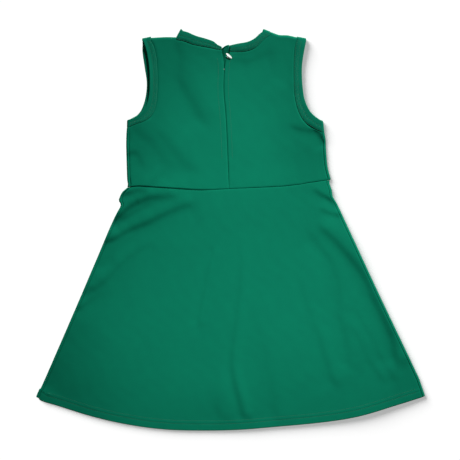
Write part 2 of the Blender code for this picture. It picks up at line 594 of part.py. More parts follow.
def make_neck_bands(material):
    """The neck band's three lengths: each back half ends under its shoulder, where the front length starts."""
    gap = SEAM_GAP / 2
    shares = even(NECK_CELLS)
    for name, seam, edge, fold, sign in (
            ("neck_band_back_left", LEFT_NECK_SEAM, LEFT_NECK_EDGE, LEFT_NECK_FOLD, -1),
            ("neck_band_back_right", RIGHT_NECK_SEAM, RIGHT_NECK_EDGE, RIGHT_NECK_FOLD, 1)):
        stations = flat_stations(moved_sideways(smooth_line(seam, shares), gap * sign), smooth_line(edge, shares),
                                 "back")
        seam_end = Vector(fold.seam) + Vector(fold.seam_inward) * (SHOULDER_SEAM_DEPTH - gap)
        edge_end = Vector(fold.edge) + Vector(fold.edge_inward) * (SHOULDER_SEAM_DEPTH - gap)
        under = flat_stations([seam_end] * 2, [edge_end] * 2, "front")[:1]
        make_band(name, stations + roll_stations(fold, ROLL[1:]) + under, material)
    shares = even(SCOOP_CELLS)
    seam = moved_sideways(smooth_line(FRONT_NECK_SEAM, shares), gap)
    edge = smooth_line(FRONT_NECK_EDGE, shares)
    for end, fold in ((0, LEFT_NECK_FOLD), (-1, RIGHT_NECK_FOLD)):
        seam[end] = Vector(fold.seam) + Vector(fold.seam_inward) * (SHOULDER_SEAM_DEPTH + gap)
        edge[end] = Vector(fold.edge) + Vector(fold.edge_inward) * (SHOULDER_SEAM_DEPTH + gap)
    make_band("neck_band_front", flat_stations(seam, edge, "front"), material)


def underlap_height(place):
    """Height of the underlap's upper face, which rests on the table under the button."""
    return max(height(place) - UNDERLAP_DROP, CLOTH)


def make_underlap(material):
    """The bit of slit facing that shows under the button."""
    left = smooth_line(UNDERLAP_LEFT, even(UNDERLAP_ROWS))
    right = smooth_line(UNDERLAP_RIGHT, even(UNDERLAP_ROWS))
    top = smooth_line(UNDERLAP_TOP, even(UNDERLAP_COLUMNS))
    bottom = [mix(left[0], right[0], share) for share in even(UNDERLAP_COLUMNS)]
    point = cloth_grid(bottom, top, left, right)

    def faces_of(i, j):
        place = point(i, j)
        top = underlap_height(place)
        return Vector((place.x, place.y, top)), Vector((place.x, place.y, top - CLOTH))

    return wall("slit_underlap", UNDERLAP_COLUMNS, UNDERLAP_ROWS, faces_of, material)


def make_loop(material):
    """Rouleau loop that catches the button, sewn into the left edge of the slit."""
    radius = LOOP_DIAMETER / 2
    curve = bpy.data.curves.new("button_loop", "CURVE")
    curve.dimensions = "3D"
    curve.bevel_depth = radius * MM
    curve.bevel_resolution = 2
    curve.use_fill_caps = True
    route = smooth_line(LOOP_ROUTE, even(LOOP_POINTS))
    spline = curve.splines.new("POLY")
    spline.points.add(len(route) - 1)
    for point, place in zip(spline.points, route):
        rest = underlap_height(place) + SEAM_GAP + radius
        point.co = (place.x * MM, place.y * MM, rest * MM, 1.0)
    return add_object("button_loop", curve, material)


def make_button(material):
    """Pearly button with a shank, turned about its own axis and leaning on its rim in the loop."""
    radius, half = BUTTON_DIAMETER / 2, BUTTON_THICKNESS / 2
    shank = SHANK_DIAMETER / 2
    profile = [(0, half), (radius * 0.5, half * 0.88), (radius * 0.85, half * 0.5), (radius, BUTTON_RIM * 0.2),
               (radius, -BUTTON_RIM * 0.4), (radius * 0.85, -half * 0.75), (shank, -half),
               (shank, -half - SHANK_LENGTH), (0, -half - SHANK_LENGTH)]
    bm = bmesh.new()
    verts = [bm.verts.new((x * MM, 0, z * MM)) for x, z in profile]
    for a, b in zip(verts, verts[1:]):
        bm.edges.new((a, b))
    mesh = bpy.data.meshes.new("button")
    bm.to_mesh(mesh)
    bm.free()
    button = add_object("button", mesh, material)
    screw = button.modifiers.new("turned", "SCREW")
    screw.steps = 24
    screw.render_steps = 24
    screw.use_merge_vertices = True
    screw.merge_threshold = 0.00001
    lowest = radius * math.sin(BUTTON_LEAN) + BUTTON_RIM * 0.4
    centre_height = height(BUTTON_CENTRE) + BUTTON_FOOT + lowest
    turn = Matrix.Rotation(BUTTON_TURN, 4, "Z") @ Matrix.Rotation(BUTTON_LEAN, 4, "Y")
    button.matrix_world = Matrix.Translation(Vector((*BUTTON_CENTRE, centre_height)) * MM) @ turn
    return button


clear_scene()
dress = bpy.data.collections.new("sleeveless_knit_dress")
bpy.context.scene.collection.children.link(dress)
knit = plain_material("green_double_knit", GREEN_KNIT, 0.85)
band_knit = plain_material("green_band_knit", GREEN_KNIT, 0.85)
pearl = plain_material("pearl_button", PEARL, 0.25)

make_back_skirt(knit)
make_front_skirt(knit)
make_back_bodice("back_bodice_left", LEFT_WAIST, LEFT_SLIT, LEFT_NECK_SEAM, LEFT_SHOULDER,
                 LEFT_BACK_ARM_SEAM, LEFT_BODICE_SIDE, 1, knit)
make_back_bodice("back_bodice_right", RIGHT_WAIST, RIGHT_SLIT, RIGHT_NECK_SEAM, RIGHT_SHOULDER,
                 RIGHT_BACK_ARM_SEAM, RIGHT_BODICE_SIDE, -1, knit)
make_front_bodice(knit)
make_armhole_band("armhole_band_left", 1, LEFT_BACK_ARM_SEAM, LEFT_BACK_ARM_EDGE, LEFT_FRONT_ARM_SEAM,
                  LEFT_FRONT_ARM_EDGE, LEFT_ARM_SHOULDER, LEFT_ARM_UNDER, LEFT_RIM_RISE, band_knit)
make_armhole_band("armhole_band_right", -1, RIGHT_BACK_ARM_SEAM, RIGHT_BACK_ARM_EDGE, RIGHT_FRONT_ARM_SEAM,
                  RIGHT_FRONT_ARM_EDGE, RIGHT_ARM_SHOULDER, RIGHT_ARM_UNDER, 0.0, band_knit)
make_neck_bands(band_knit)
make_underlap(knit)
make_loop(band_knit)
make_button(pearl)
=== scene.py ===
"""Looks of a child's sleeveless knit dress, laid flat with its back up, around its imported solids.

Sizes of the dress are millimetres in its own frame and become metres when a mesh is made. Lamps,
the table and sheet sizes are in metres. The left is the -X side. Panels, bands and trimmings
replace their plain solids and lie about where those lie.
"""
import math
from collections import namedtuple

import bmesh
import bpy
import numpy as np
from mathutils import Matrix, Vector


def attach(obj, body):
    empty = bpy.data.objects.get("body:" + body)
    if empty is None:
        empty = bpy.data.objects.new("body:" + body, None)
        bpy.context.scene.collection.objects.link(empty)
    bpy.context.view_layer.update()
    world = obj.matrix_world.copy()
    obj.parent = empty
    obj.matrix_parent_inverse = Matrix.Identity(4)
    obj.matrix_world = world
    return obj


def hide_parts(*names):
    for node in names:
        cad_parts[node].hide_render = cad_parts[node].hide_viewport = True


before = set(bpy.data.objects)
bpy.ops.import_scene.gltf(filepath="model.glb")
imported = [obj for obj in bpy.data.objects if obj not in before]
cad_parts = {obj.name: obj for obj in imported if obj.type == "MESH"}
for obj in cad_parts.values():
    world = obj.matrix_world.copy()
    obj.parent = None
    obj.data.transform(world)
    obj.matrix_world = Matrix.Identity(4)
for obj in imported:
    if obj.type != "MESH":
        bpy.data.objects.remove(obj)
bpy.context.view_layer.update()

# Back of the skirt: one flared panel of dense double knit, hemmed with a twin needle. It lies
# loosely on the front, so the fullness below the waist seam stands in soft folds that fan out.
MM = 0.001
CLOTH = 1.2
SEAM_DEPTH = 4.5
LEFT_SKIRT_SIDE = ((-291.8, -250.2), (-286.5, -238), (-280.5, -228), (-227, -105), (-182, 1), (-170.6, 25),
                   (-164.5, 37), (-167.5, 44), (-166, 49.5), (-162.5, 56.4), (-154.7, 63.6))
RIGHT_SKIRT_SIDE = ((291.8, -248.5), (284.7, -228), (277, -210), (222, -94.5), (167, 24), (160, 39),
                    (153.6, 50), (152, 60), (148.5, 70), (149.2, 74.2))
LEFT_BODICE_SIDE = ((-154.4, 64), (-153.8, 70), (-155, 78), (-156.4, 123), (-156.2, 142), (-155.4, 154))
RIGHT_BODICE_SIDE = ((149.3, 74.6), (150.4, 77), (148.7, 82.5), (145.5, 97), (143.5, 120), (143, 134),
                     (141, 146))
SKIRT_SIDE_LEAN = math.radians(23.4)
HEM = ((-287.7, -252), (-283, -256.4), (-259, -263.5), (-205, -280), (-151, -292), (-97, -299),
       (-43, -300.6), (11, -299.4), (65, -295), (137, -288), (191, -279), (245, -263.3), (287.7, -250.4))
LEFT_WAIST = ((-150, 63.9), (-136, 65), (-113, 63.6), (-83, 61.8), (-46, 59.5), (-23, 60.2), (-2.2, 61.4))
RIGHT_WAIST = ((-2.2, 61.4), (29, 62.7), (59, 64.0), (89, 66.2), (119, 70.6), (144.8, 74.4))
LEFT_SLIT = ((-2.2, 61.4), (-6.6, 162), (-10.2, 207), (-9.6, 238), (-10.2, 250), (-12.0, 261),
             (-13.8, 269.0))
RIGHT_SLIT = ((-2.2, 61.4), (-6.5, 162), (-10.1, 207), (-9.3, 240), (-7.4, 254.2), (-3.6, 260.4),
              (-1.2, 266.0))
LEFT_NECK_SEAM = ((-13.8, 269.2), (-34, 273), (-46, 275), (-58, 277.5), (-68.2, 281.5), (-81.5, 284.7))
RIGHT_NECK_SEAM = ((-1.2, 266.2), (14, 266.1), (26, 267.6), (37, 272.1), (44.2, 278.7), (51.8, 286.4),
                   (60.3, 292.2))
LEFT_BACK_ARM_SEAM = ((-150.9, 154), (-141.8, 158.1), (-127.8, 163.1), (-116.2, 173.2), (-110.5, 192),
                      (-108.8, 222), (-110, 252), (-114.1, 273.5), (-119.2, 283.8))
RIGHT_BACK_ARM_SEAM = ((136.5, 146), (126.8, 150), (113.2, 159), (102.6, 174.8), (96.5, 196.6),
                       (94.8, 221.4), (94.8, 253.5), (96.2, 274), (99.5, 284.3))
Loft = namedtuple("Loft", "y height")
LOFT = (Loft(-302, 6.3), Loft(-284, 6.1), Loft(-200, 5.7), Loft(0, 6.0), Loft(62, 6.5), Loft(110, 6.0),
        Loft(160, 6.1), Loft(225, 5.7), Loft(262, 5.2), Loft(302, 5.4))
EDGE_DROP = 0.8
EDGE_DROP_WIDTH = 18.0
LEAST_HEIGHT = 3.2
LEAST_HEM_HEIGHT = 4.9
HEM_DEPTH = 15.0
# Soft folds of the loose cloth. Each flank runs through its points with its crest on the left as one
# walks along it and its trough on the right; depth is the step between the two, from start to end
Fold = namedtuple("Fold", "name width depth_start depth_end crest points spread", defaults=(2.6,))
FOLDS = (
    Fold("below left neck", 11, 1.2, 2.6, 0.4, ((-80, 282), (-73, 254), (-74, 226), (-61, 200),
         (-45, 172))),
    Fold("left shoulder blade", 10, 0.4, 0.4, 0.4, ((-62, 226), (-48, 204), (-34, 184), (-24, 166))),
    Fold("left underarm to waist", 11, 1.2, 1.2, 0.4, ((-136, 146), (-124, 134), (-110, 118), (-92, 98))),
    Fold("middle of left back", 10, 1.2, 1.5, 0.4, ((-101, 138), (-85, 119), (-62, 93))),
    Fold("left side of bodice", 5, 1.4, 0.8, 0.3, ((-154, 113), (-145, 116), (-137, 110), (-132, 97))),
    Fold("above left waist", 5, 1.4, 0.9, 0.3, ((-120, 68), (-113, 75), (-106, 83))),
    Fold("left armhole edge", 6, 2.8, 2.8, 1.0, ((-131, 183), (-124.5, 196), (-120.8, 216), (-121.8, 240),
         (-126.6, 266), (-131.5, 286))),
    Fold("right neck edge", 7, 1.8, 1.0, 1.0, ((-2, 269.5), (20, 270.5), (34, 275.5), (42, 283))),
    Fold("left neck edge", 6, 0.9, 0.3, 1.0, ((-68, 284), (-50, 279), (-38, 276))),
    Fold("below right neck", 8, 0.8, 0.8, 0.2, ((2, 258), (26, 252), (50, 262))),
    Fold("beside right armhole", 9, 1.9, 1.3, 0.5, ((98, 276), (94, 252), (89, 226))),
    Fold("right underarm, smudge", 6, 1.0, 1.2, 0.4, ((97, 153), (107, 150), (116, 148))),
    Fold("right underarm, crease", 4.5, 0.9, 2.7, 0.5, ((119, 157), (125, 151), (130, 146.5), (134, 142),
         (137.5, 137), (141, 131))),
    Fold("left waist fan, tuck", 6, 3.2, 1.4, 0.3, ((-162, 54), (-150, 55.5), (-140, 59), (-132, 58))),
    Fold("left waist fan, upper", 7.5, 6.6, 2.4, 0.5, ((-175, 15), (-167, 21), (-159, 28), (-149, 36),
         (-137, 42), (-120, 48), (-92, 50))),
    Fold("left waist fan, second", 5, 1.4, 0.8, 0.5, ((-160, 17), (-143, 27), (-122, 38))),
    Fold("left waist fan, lower", 8, 4.8, 2.8, 0.5, ((-205, -31), (-187, -19), (-171, -12), (-150, 0.5),
         (-126, 10), (-96, 25), (-66, 36.5)), 3.6),
    Fold("left hip", 9, 3.2, 1.5, 0.5, ((-214, -92), (-202, -86.5), (-194, -81), (-181, -70), (-162, -51),
         (-128, -26))),
    Fold("left hip, low", 5, 2.0, 0.7, 0.5, ((-228, -118), (-217, -111), (-209, -105), (-198, -97))),
    Fold("left hip, short", 5, 1.2, 1.6, 0.5, ((-216, -84), (-210, -74), (-203, -57), (-195, -47),
         (-186, -42))),
    Fold("left flare", 16, 1.2, 0.8, 0.4, ((-250, -160), (-215, -120), (-180, -96))),
    Fold("lower left corner", 20, 3.0, 1.6, 0.3, ((-282, -222), (-262, -196), (-244, -168))),
    Fold("left of centre", 4, 0.8, 0.9, 0.5, ((-26, -34), (-35, -66), (-41, -98), (-48, -136))),
    Fold("centre", 6, 0.7, 2.2, 0.7, ((16, -40), (14, -90), (7, -150), (2, -192), (5, -222), (19, -274)),
         1.6),
    Fold("beside centre, near the hem", 8, 0.3, 1.2, 0.5, ((-20, -220), (-20, -250), (-17, -276))),
    Fold("right of centre", 10, 0.3, 1.4, 0.5, ((44, -140), (52, -190), (61, -228), (68, -274))),
    Fold("right panel, inner", 8, 0.3, 1.6, 0.5, ((104, -76), (120, -126), (135, -168), (143, -196),
         (153, -224))),
    Fold("right panel, middle", 9, 1.4, 1.4, 0.5, ((127, -14), (146, -40), (158, -66), (164, -98),
         (163.5, -132), (173, -163), (178, -195))),
    Fold("right panel, short", 6, 0.6, 0.9, 0.5, ((184, -150), (193, -165), (208, -195), (226, -222))),
    Fold("right flare", 9.5, 2.8, 4.7, 0.5, ((142, -3), (158, -17), (175, -36), (191, -56), (205, -80),
         (214, -102), (230, -135), (242, -162), (247, -190))),
    Fold("right waist tuck", 4, 1.2, 3.4, 0.65, ((129, 58), (138, 52), (150, 46), (161, 37)), 3.6),
    Fold("below right waist", 4.5, 1.2, 2.0, 0.6, ((139, 29), (147, 25.5), (160, 23)), 3.2),
    Fold("fine crease at the right", 6, 0.7, 0.9, 0.5, ((190, -122), (196, -135), (214, -165), (227, -195),
         (245, -222))),
)
# Broad swells of the loosely laid cloth
Swell = namedtuple("Swell", "x y radius rise")
SWELLS = (
    Swell(50, -195, 90, 2.6), Swell(130, -200, 80, 2.0), Swell(0, -250, 42, 2.2), Swell(-62, -255, 50, 1.4),
    Swell(-40, -320, 80, -1.8), Swell(228, -325, 72, 6.0), Swell(205, -20, 45, 2.4),
    Swell(98, 80, 45, -1.5), Swell(-80, 58, 28, -1.2), Swell(8, 120, 48, 2.4), Swell(150, 192, 40, 4.2),
    Swell(98, 290, 42, 2.2), Swell(-165, 85, 70, 2.2), Swell(-140, -60, 90, -2.2),
    Swell(-215, -200, 60, 2.0), Swell(0, 320, 60, 1.6),
)
# How far a fold runs on past its ends, by its width
FOLD_FADE = 1.4
FOLD_STEPS = 14


def even(count):
    return np.linspace(0.0, 1.0, count + 1)


def through(points, shares):
    """Places at the given shares of the length of a smooth line through the points."""
    knots = np.array(points, float)
    knots = np.vstack([2 * knots[0] - knots[1], knots, 2 * knots[-1] - knots[-2]])
    t = np.linspace(0, 1, 16, endpoint=False)[:, None]
    fine = [0.5 * (2 * b + (c - a) * t + (2 * a - 5 * b + 4 * c - d) * t ** 2
                   + (3 * b - 3 * c + d - a) * t ** 3)
            for a, b, c, d in zip(knots, knots[1:], knots[2:], knots[3:])]
    fine = np.vstack(fine + [knots[-2:-1]])
    lengths = np.concatenate([[0.0], np.cumsum(np.linalg.norm(np.diff(fine, axis=0), axis=1))])
    return np.stack([np.interp(np.asarray(shares) * lengths[-1], lengths, axis) for axis in fine.T], axis=1)


def nearest(line, places):
    """Distance from each place to a line, and the share of the line's steps at which it is nearest."""
    best = np.full(places.shape[:-1], np.inf)
    share = np.zeros(places.shape[:-1])
    for index, (a, b) in enumerate(zip(line[:-1], line[1:])):
        along = b - a
        t = np.clip(((places - a) @ along) / (along @ along), 0, 1)
        distance = np.linalg.norm(places - a - t[..., None] * along, axis=-1)
        closer = distance < best
        best = np.where(closer, distance, best)
        share = np.where(closer, (index + t) / (len(line) - 1), share)
    return best, share


def beside_line(line, places):
    """How far each place is left of a line and past its ends, and the share of the line beside it."""
    best = np.full(places.shape[:-1], np.inf)
    left, past, share = (np.zeros(best.shape) for _ in range(3))
    for index, (a, b) in enumerate(zip(line[:-1], line[1:])):
        length = np.linalg.norm(b - a)
        along = (b - a) / length
        reach = (places - a) @ along
        inside = np.clip(reach, 0, length)
        off = places - a - inside[..., None] * along
        distance = np.linalg.norm(off, axis=-1)
        closer = distance < best
        best = np.where(closer, distance, best)
        left = np.where(closer, along[0] * off[..., 1] - along[1] * off[..., 0], left)
        past = np.where(closer, reach - inside, past)
        share = np.where(closer, (index + inside / length) / (len(line) - 1), share)
    return left, past, share


def fold_rise(fold, places):
    """How far a fold lifts the cloth: its crest less its trough, each with a wide outer side."""
    left, past, share = beside_line(through(fold.points, even(FOLD_STEPS)), places)
    depth = fold.depth_start + (fold.depth_end - fold.depth_start) * share
    half = 0.6 * fold.width
    crest = (left - half) / np.where(left > half, fold.spread * fold.width, fold.width)
    trough = (left + half) / np.where(left < -half, fold.spread * fold.width, fold.width)
    shape = fold.crest * np.exp(-crest ** 2) - (1 - fold.crest) * np.exp(-trough ** 2)
    return depth * shape * np.exp(-(past / (FOLD_FADE * fold.width)) ** 2)


def by_height(skirt, bodice):
    table = np.array(sorted((y, x) for x, y in skirt + bodice))
    return table[:, 0], table[:, 1]


LEFT_SIDE_BY_Y = by_height(LEFT_SKIRT_SIDE, LEFT_BODICE_SIDE)
RIGHT_SIDE_BY_Y = by_height(RIGHT_SKIRT_SIDE, RIGHT_BODICE_SIDE)
WAIST_LINE = np.vstack([through(LEFT_WAIST, even(24)), through(RIGHT_WAIST, even(24))[1:]])
HEM_LINE = through(HEM, even(60))
SEAM_DIP = 0.5
SEAM_DIP_WIDTH = 0.8
# Seams that dip less or more than the rest, by the part of the dress that they run through
SeamChange = namedtuple("SeamChange", "x_from x_to y_from y_to depth width")
SEAM_CHANGES = (
    SeamChange(-160, -95, 130, 300, 0.4, 1.6),
    SeamChange(123, 150, 135, 156, -0.2, 1.0),
    SeamChange(100, 320, -320, 70, 0.2, 1.0),
    SeamChange(34, 80, 255, 320, 0.05, 1.0),
    SeamChange(-15, 5, 66, 262, 0.9, 0.8),
    SeamChange(-20, 34, 255, 320, 0.2, 0.8),
    SeamChange(-160, -125, 145, 176, 0.0, 1.6),
    SeamChange(-90, -45, 262, 300, 0.2, 1.2),
)
# Along the waist, by x: how much more its seam dips, and how much the allowance lifts the cloth above
NEAR_WAIST = (55, 75)
WAIST_ALLOWANCE = 9.0
WAIST_DIP = ((-150, 0.8), (-130, 0.3), (-120, 0.3), (-70, 0.4), (-45, 0.2), (-25, -0.1), (-15, -0.35),
             (20, -0.35), (45, -0.2))
WAIST_RISE = ((-155, 0.6), (-125, 1.0), (-70, 1.0), (-50, 0.7), (-30, 0.4), (-10, 0.3), (60, 0.4),
              (150, 0.25))


def beside(line, distance):
    """The line moved to its left by a distance, as seen when walking along it."""
    along = np.gradient(line, axis=0)
    along = along / np.linalg.norm(along, axis=1, keepdims=True)
    return line + np.stack([-along[:, 1], along[:, 0]], axis=1) * distance


def soft_step(value, low, high):
    t = np.clip((value - low) / (high - low), 0, 1)
    return t * t * (3 - 2 * t)


def ripple(places, length, turn=0.0):
    """Small uneven waves of about the given length, between -1 and 1."""
    x, y = places[..., 0] / length * 2 * math.pi, places[..., 1] / length * 2 * math.pi
    across = np.sin(x * 0.83 + 1.7 * np.sin(y * 0.31 + turn))
    wave = across * np.cos(y * 0.71 + 1.3 * np.sin(x * 0.43 + 2 * turn))
    return 0.6 * wave + 0.4 * np.sin(x * 1.9 + y * 1.3 + 3 * turn + 2 * np.sin(y * 0.5 - x * 0.2))


def upper(places):
    """Height of the dress's upper face above the table, before the dips at its seams."""
    x, y = places[..., 0], places[..., 1]
    top = np.interp(y, *np.array(LOFT).T)
    inset = np.minimum(x - np.interp(y, *LEFT_SIDE_BY_Y), np.interp(y, *RIGHT_SIDE_BY_Y) - x)
    top = top - EDGE_DROP * np.exp(-(np.maximum(inset, 0) / EDGE_DROP_WIDTH) ** 2)
    for fold in FOLDS:
        top = top + fold_rise(fold, places)
    for swell in SWELLS:
        away = np.hypot(x - swell.x, y - swell.y) / swell.radius
        top = top + swell.rise * np.exp(-away ** 2)
    top = top + 0.10 * ripple(places, 46, 0.4) + 0.03 * ripple(places, 17, 1.1)
    above_hem = y - np.interp(x, *HEM_LINE.T)
    hem_share = np.clip((2 * HEM_DEPTH - above_hem) / HEM_DEPTH, 0, 1)
    least = LEAST_HEIGHT + (LEAST_HEM_HEIGHT - LEAST_HEIGHT) * hem_share
    top = 0.5 * (top + least + np.sqrt((top - least) ** 2 + 0.16))
    above_waist = y - np.interp(x, *WAIST_LINE.T)
    past_allowance = soft_step(above_waist, 0.5 * WAIST_ALLOWANCE, 4 * WAIST_ALLOWANCE)
    allowance = soft_step(above_waist, 0, 1.4) * (1 - past_allowance)
    return top + np.interp(x, *np.array(WAIST_RISE).T) * allowance


def spread(bottom, top, left, right):
    """Places of a grid stretched between four lines that meet at their ends, by row and column."""
    def shares(one, other):
        lengths = [np.concatenate([[0], np.cumsum(np.linalg.norm(np.diff(line, axis=0), axis=1))])
                   for line in (one, other)]
        return sum(length / length[-1] for length in lengths) / 2

    u, v = shares(bottom, top)[None, :, None], shares(left, right)[:, None, None]
    corners = (bottom[0] * (1 - u) + bottom[-1] * u) * (1 - v) + (top[0] * (1 - u) + top[-1] * u) * v
    return bottom[None] * (1 - v) + top[None] * v + left[:, None] * (1 - u) + right[:, None] * u - corners


def with_height(places, height):
    return np.concatenate([places, np.broadcast_to(height, places.shape[:-1])[..., None]], axis=-1)


def cloth_wall(name, outer, inner, keep=None, ring=False):
    """A closed wall of cloth between two grids of points, by row and column."""
    rows, columns = outer.shape[0] - 1, outer.shape[1] - 1
    bm = bmesh.new()
    place = bm.verts.layers.int.new("place")
    bmesh.ops.create_grid(bm, x_segments=columns, y_segments=rows, size=0.5)
    for vert in bm.verts:
        row, column = round((vert.co.y + 0.5) * rows), round((vert.co.x + 0.5) * columns)
        vert[place] = row * (columns + 1) + column
        vert.co = outer[row, column]
    if keep is not None:
        unused = []
        for face in bm.faces:
            row, column = divmod(min(vert[place] for vert in face.verts), columns + 1)
            if not keep[row, column]:
                unused.append(face)
        bmesh.ops.delete(bm, geom=unused, context="FACES")
    if ring:
        bmesh.ops.remove_doubles(bm, verts=bm.verts, dist=0.0005)
    made = bmesh.ops.extrude_face_region(bm, geom=bm.faces[:])["geom"]
    flat_inner = inner.reshape(-1, 3)
    for vert in made:
        if isinstance(vert, bmesh.types.BMVert):
            vert.co = flat_inner[vert[place]]
    bmesh.ops.recalc_face_normals(bm, faces=bm.faces)
    bmesh.ops.scale(bm, vec=(MM, MM, MM), verts=bm.verts)
    return finished(name, bm)


def finished(name, bm):
    """The bmesh as a smooth-shaded object."""
    mesh = bpy.data.meshes.new(name)
    bm.to_mesh(mesh)
    bm.free()
    mesh.shade_smooth()
    made = bpy.data.objects.new(name, mesh)
    bpy.context.scene.collection.objects.link(made)
    return made


def linear(hex_colour):
    """A colour such as 0C7257 as linear red, green, blue and alpha."""
    channels = [int(hex_colour[i:i + 2], 16) / 255 for i in (0, 2, 4)]
    return [c / 12.92 if c <= 0.04045 else ((c + 0.055) / 1.055) ** 2.4 for c in channels] + [1.0]


def add_node(tree, kind, settings=None, links=None):
    """Adds a node, sets its attributes or input sockets, and links its inputs."""
    made = tree.nodes.new("ShaderNode" + kind)
    for key, value in (settings or {}).items():
        if isinstance(key, str) and key in made.bl_rna.properties:
            setattr(made, key, value)
        else:
            made.inputs[key].default_value = value
    for key, source in (links or {}).items():
        tree.links.new(source, made.inputs[key])
    return made


def new_material(name):
    """A material with its node tree and its shader."""
    material = bpy.data.materials.new(name)
    material.use_nodes = True
    return material, material.node_tree, material.node_tree.nodes["Principled BSDF"]


# Dense double knit of cotton and polyester, dyed a solid green: matt, with hardly any shine, fine
# upright wales and a faint unevenness of the dye
WALE = 1.0
COURSE = 0.8
WAVE_PERIOD = 0.31416
# Clouds of the dye are about 17 mm across, and the fuzz of the surface about 1 mm
DYE_CLOUDS_PER_METRE = 60.0
FUZZ_PER_METRE = 900.0


def knit_material(name, light, dark):
    material, tree, shader = new_material(name)
    place = add_node(tree, "TexCoord").outputs["Object"]
    mottle = add_node(tree, "TexNoise", {"Scale": DYE_CLOUDS_PER_METRE, "Detail": 3.0, "Roughness": 0.55},
                      {"Vector": place})
    fuzz = add_node(tree, "TexNoise", {"Scale": FUZZ_PER_METRE, "Detail": 2.0}, {"Vector": place})
    colour = add_node(tree, "ValToRGB", {}, {"Fac": mottle.outputs["Fac"]})
    colour.color_ramp.elements[0].position = 0.35
    colour.color_ramp.elements[0].color = linear(dark)
    colour.color_ramp.elements[1].position = 0.65
    colour.color_ramp.elements[1].color = linear(light)
    wales = add_node(tree, "TexWave", {"bands_direction": "X", "Scale": WAVE_PERIOD / (WALE * MM),
                                       "Distortion": 0.6, "Detail": 0.0}, {"Vector": place})
    courses = add_node(tree, "TexWave", {"bands_direction": "Y", "Scale": WAVE_PERIOD / (COURSE * MM),
                                         "Distortion": 0.6, "Detail": 0.0}, {"Vector": place})
    stitch = add_node(tree, "Math", {"operation": "MULTIPLY_ADD", 1: 0.5},
                      {0: courses.outputs["Fac"], 2: wales.outputs["Fac"]})
    relief = add_node(tree, "Math", {"operation": "MULTIPLY_ADD", 1: 0.6},
                      {0: fuzz.outputs["Fac"], 2: stitch.outputs[0]})
    bump = add_node(tree, "Bump", {"Strength": 0.35, "Distance": 0.0002}, {"Height": relief.outputs[0]})
    tree.links.new(colour.outputs["Color"], shader.inputs["Base Color"])
    tree.links.new(bump.outputs["Normal"], shader.inputs["Normal"])
    shader.inputs["Roughness"].default_value = 0.9
    shader.inputs["Specular IOR Level"].default_value = 0.05
    shader.inputs["Sheen Weight"].default_value = 0.15
    shader.inputs["Sheen Roughness"].default_value = 0.5
    shader.inputs["Sheen Tint"].default_value = linear("1C8F6C")
    return material


double_knit = knit_material("dense_double_knit", "06775A", "067559")


def dress_piece(piece, material, slot, *nodes):
    """Gives a piece its material and hides the solids that it stands for; its slot is not used."""
    piece.data.materials.append(material)
    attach(piece, "root")
    if nodes:
        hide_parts(*nodes)
    return piece


RollSection = namedtuple("RollSection", "depth height slope")
ROLL = (RollSection(SEAM_DEPTH, 1.00, 90), RollSection(2.2, 0.95, 66), RollSection(0.6, 0.76, 32),
        RollSection(0.0, 0.50, 0), RollSection(0.6, 0.20, -40), RollSection(2.6, 0.00, -90))
# Distances from an edge at which a cloth's grid has lines, for the edge's rounding
EDGE_STEPS = np.array([0.0, 0.1, 0.3, 0.6, 1.3, 2.4])
HEM_THICKNESS = 2.2
STITCH_LINES = (10.0, HEM_DEPTH)
STITCH_GROOVE = 0.18


def edged(length, cells, start=EDGE_STEPS, end=EDGE_STEPS):
    """Shares of a length with narrow cells beside its ends, where the cloth's edges are rounded."""
    middle = np.linspace(start[-1], length - end[-1], cells + 1)[1:-1]
    return np.concatenate([start, middle, length - end[::-1]]) / length


def from_ends(shares, length):
    """Distance to the nearer end of a length."""
    return np.minimum(shares, 1 - shares) * length


def rounding(distance, radius):
    """How far a rounded edge of the given radius falls away, by distance from the edge."""
    t = np.clip(1 - distance / radius, 0, 0.97)
    return radius * (1 - np.sqrt(1 - t * t))


def skirt_inward(sign, shares):
    lean = SKIRT_SIDE_LEAN * (1 - np.asarray(shares))
    return np.stack([sign * np.cos(lean), -np.sin(lean)], axis=-1)


def seam_dip(distance, places):
    """How far the cloth sinks towards a seam, with small puckers along it."""
    x, y = places[..., 0], places[..., 1]
    pucker = 0.10 * np.exp(-(distance / 5) ** 2) * ripple(places, 9, 0.7)
    depth, width = np.full(x.shape, SEAM_DIP), np.full(x.shape, SEAM_DIP_WIDTH)
    for place in SEAM_CHANGES:
        there = (x > place.x_from) & (x < place.x_to) & (y > place.y_from) & (y < place.y_to)
        depth, width = np.where(there, place.depth, depth), np.where(there, place.width, width)
    near_waist = (y > NEAR_WAIST[0]) & (y < NEAR_WAIST[1])
    depth = depth + np.where(near_waist, np.interp(x, *np.array(WAIST_DIP).T), 0)
    return depth * np.exp(-(distance / width) ** 2) - pucker


def face_pair(places, height, thickness, fall):
    """Outer and inner points of cloth on top of the dress, with the fall of its rounded edges."""
    return with_height(places, height - fall), with_height(places, height - thickness + fall)


SKIRT_SIDE_LENGTH = 341.0
HEM_LENGTH = 590.0
WAIST_LENGTH = 297.0
SKIRT_ROWS = 100
SKIRT_COLUMNS = 190
HEM_RISE = 0.2
HEM_PUCKER = 0.12
WAIST_DIP_OF_SKIRT = 0.15
CORNER_REACH = 25
HEM_STEPS = np.array([0, 0.15, 0.4, 0.8, 1.4, 2.4, 4, 6, 8, 9, 9.6, 10, 10.4, 11, 12.5, 14, 14.6, 15, 15.4,
                      16, 18])
skirt_shares = edged(SKIRT_SIDE_LENGTH, SKIRT_ROWS, start=HEM_STEPS)
skirt_left = through(LEFT_SKIRT_SIDE, skirt_shares)
skirt_right = through(RIGHT_SKIRT_SIDE, skirt_shares)
left = skirt_left + skirt_inward(1, skirt_shares) * SEAM_DEPTH
right = skirt_right + skirt_inward(-1, skirt_shares) * SEAM_DEPTH
bottom = through(HEM, edged(HEM_LENGTH, SKIRT_COLUMNS))
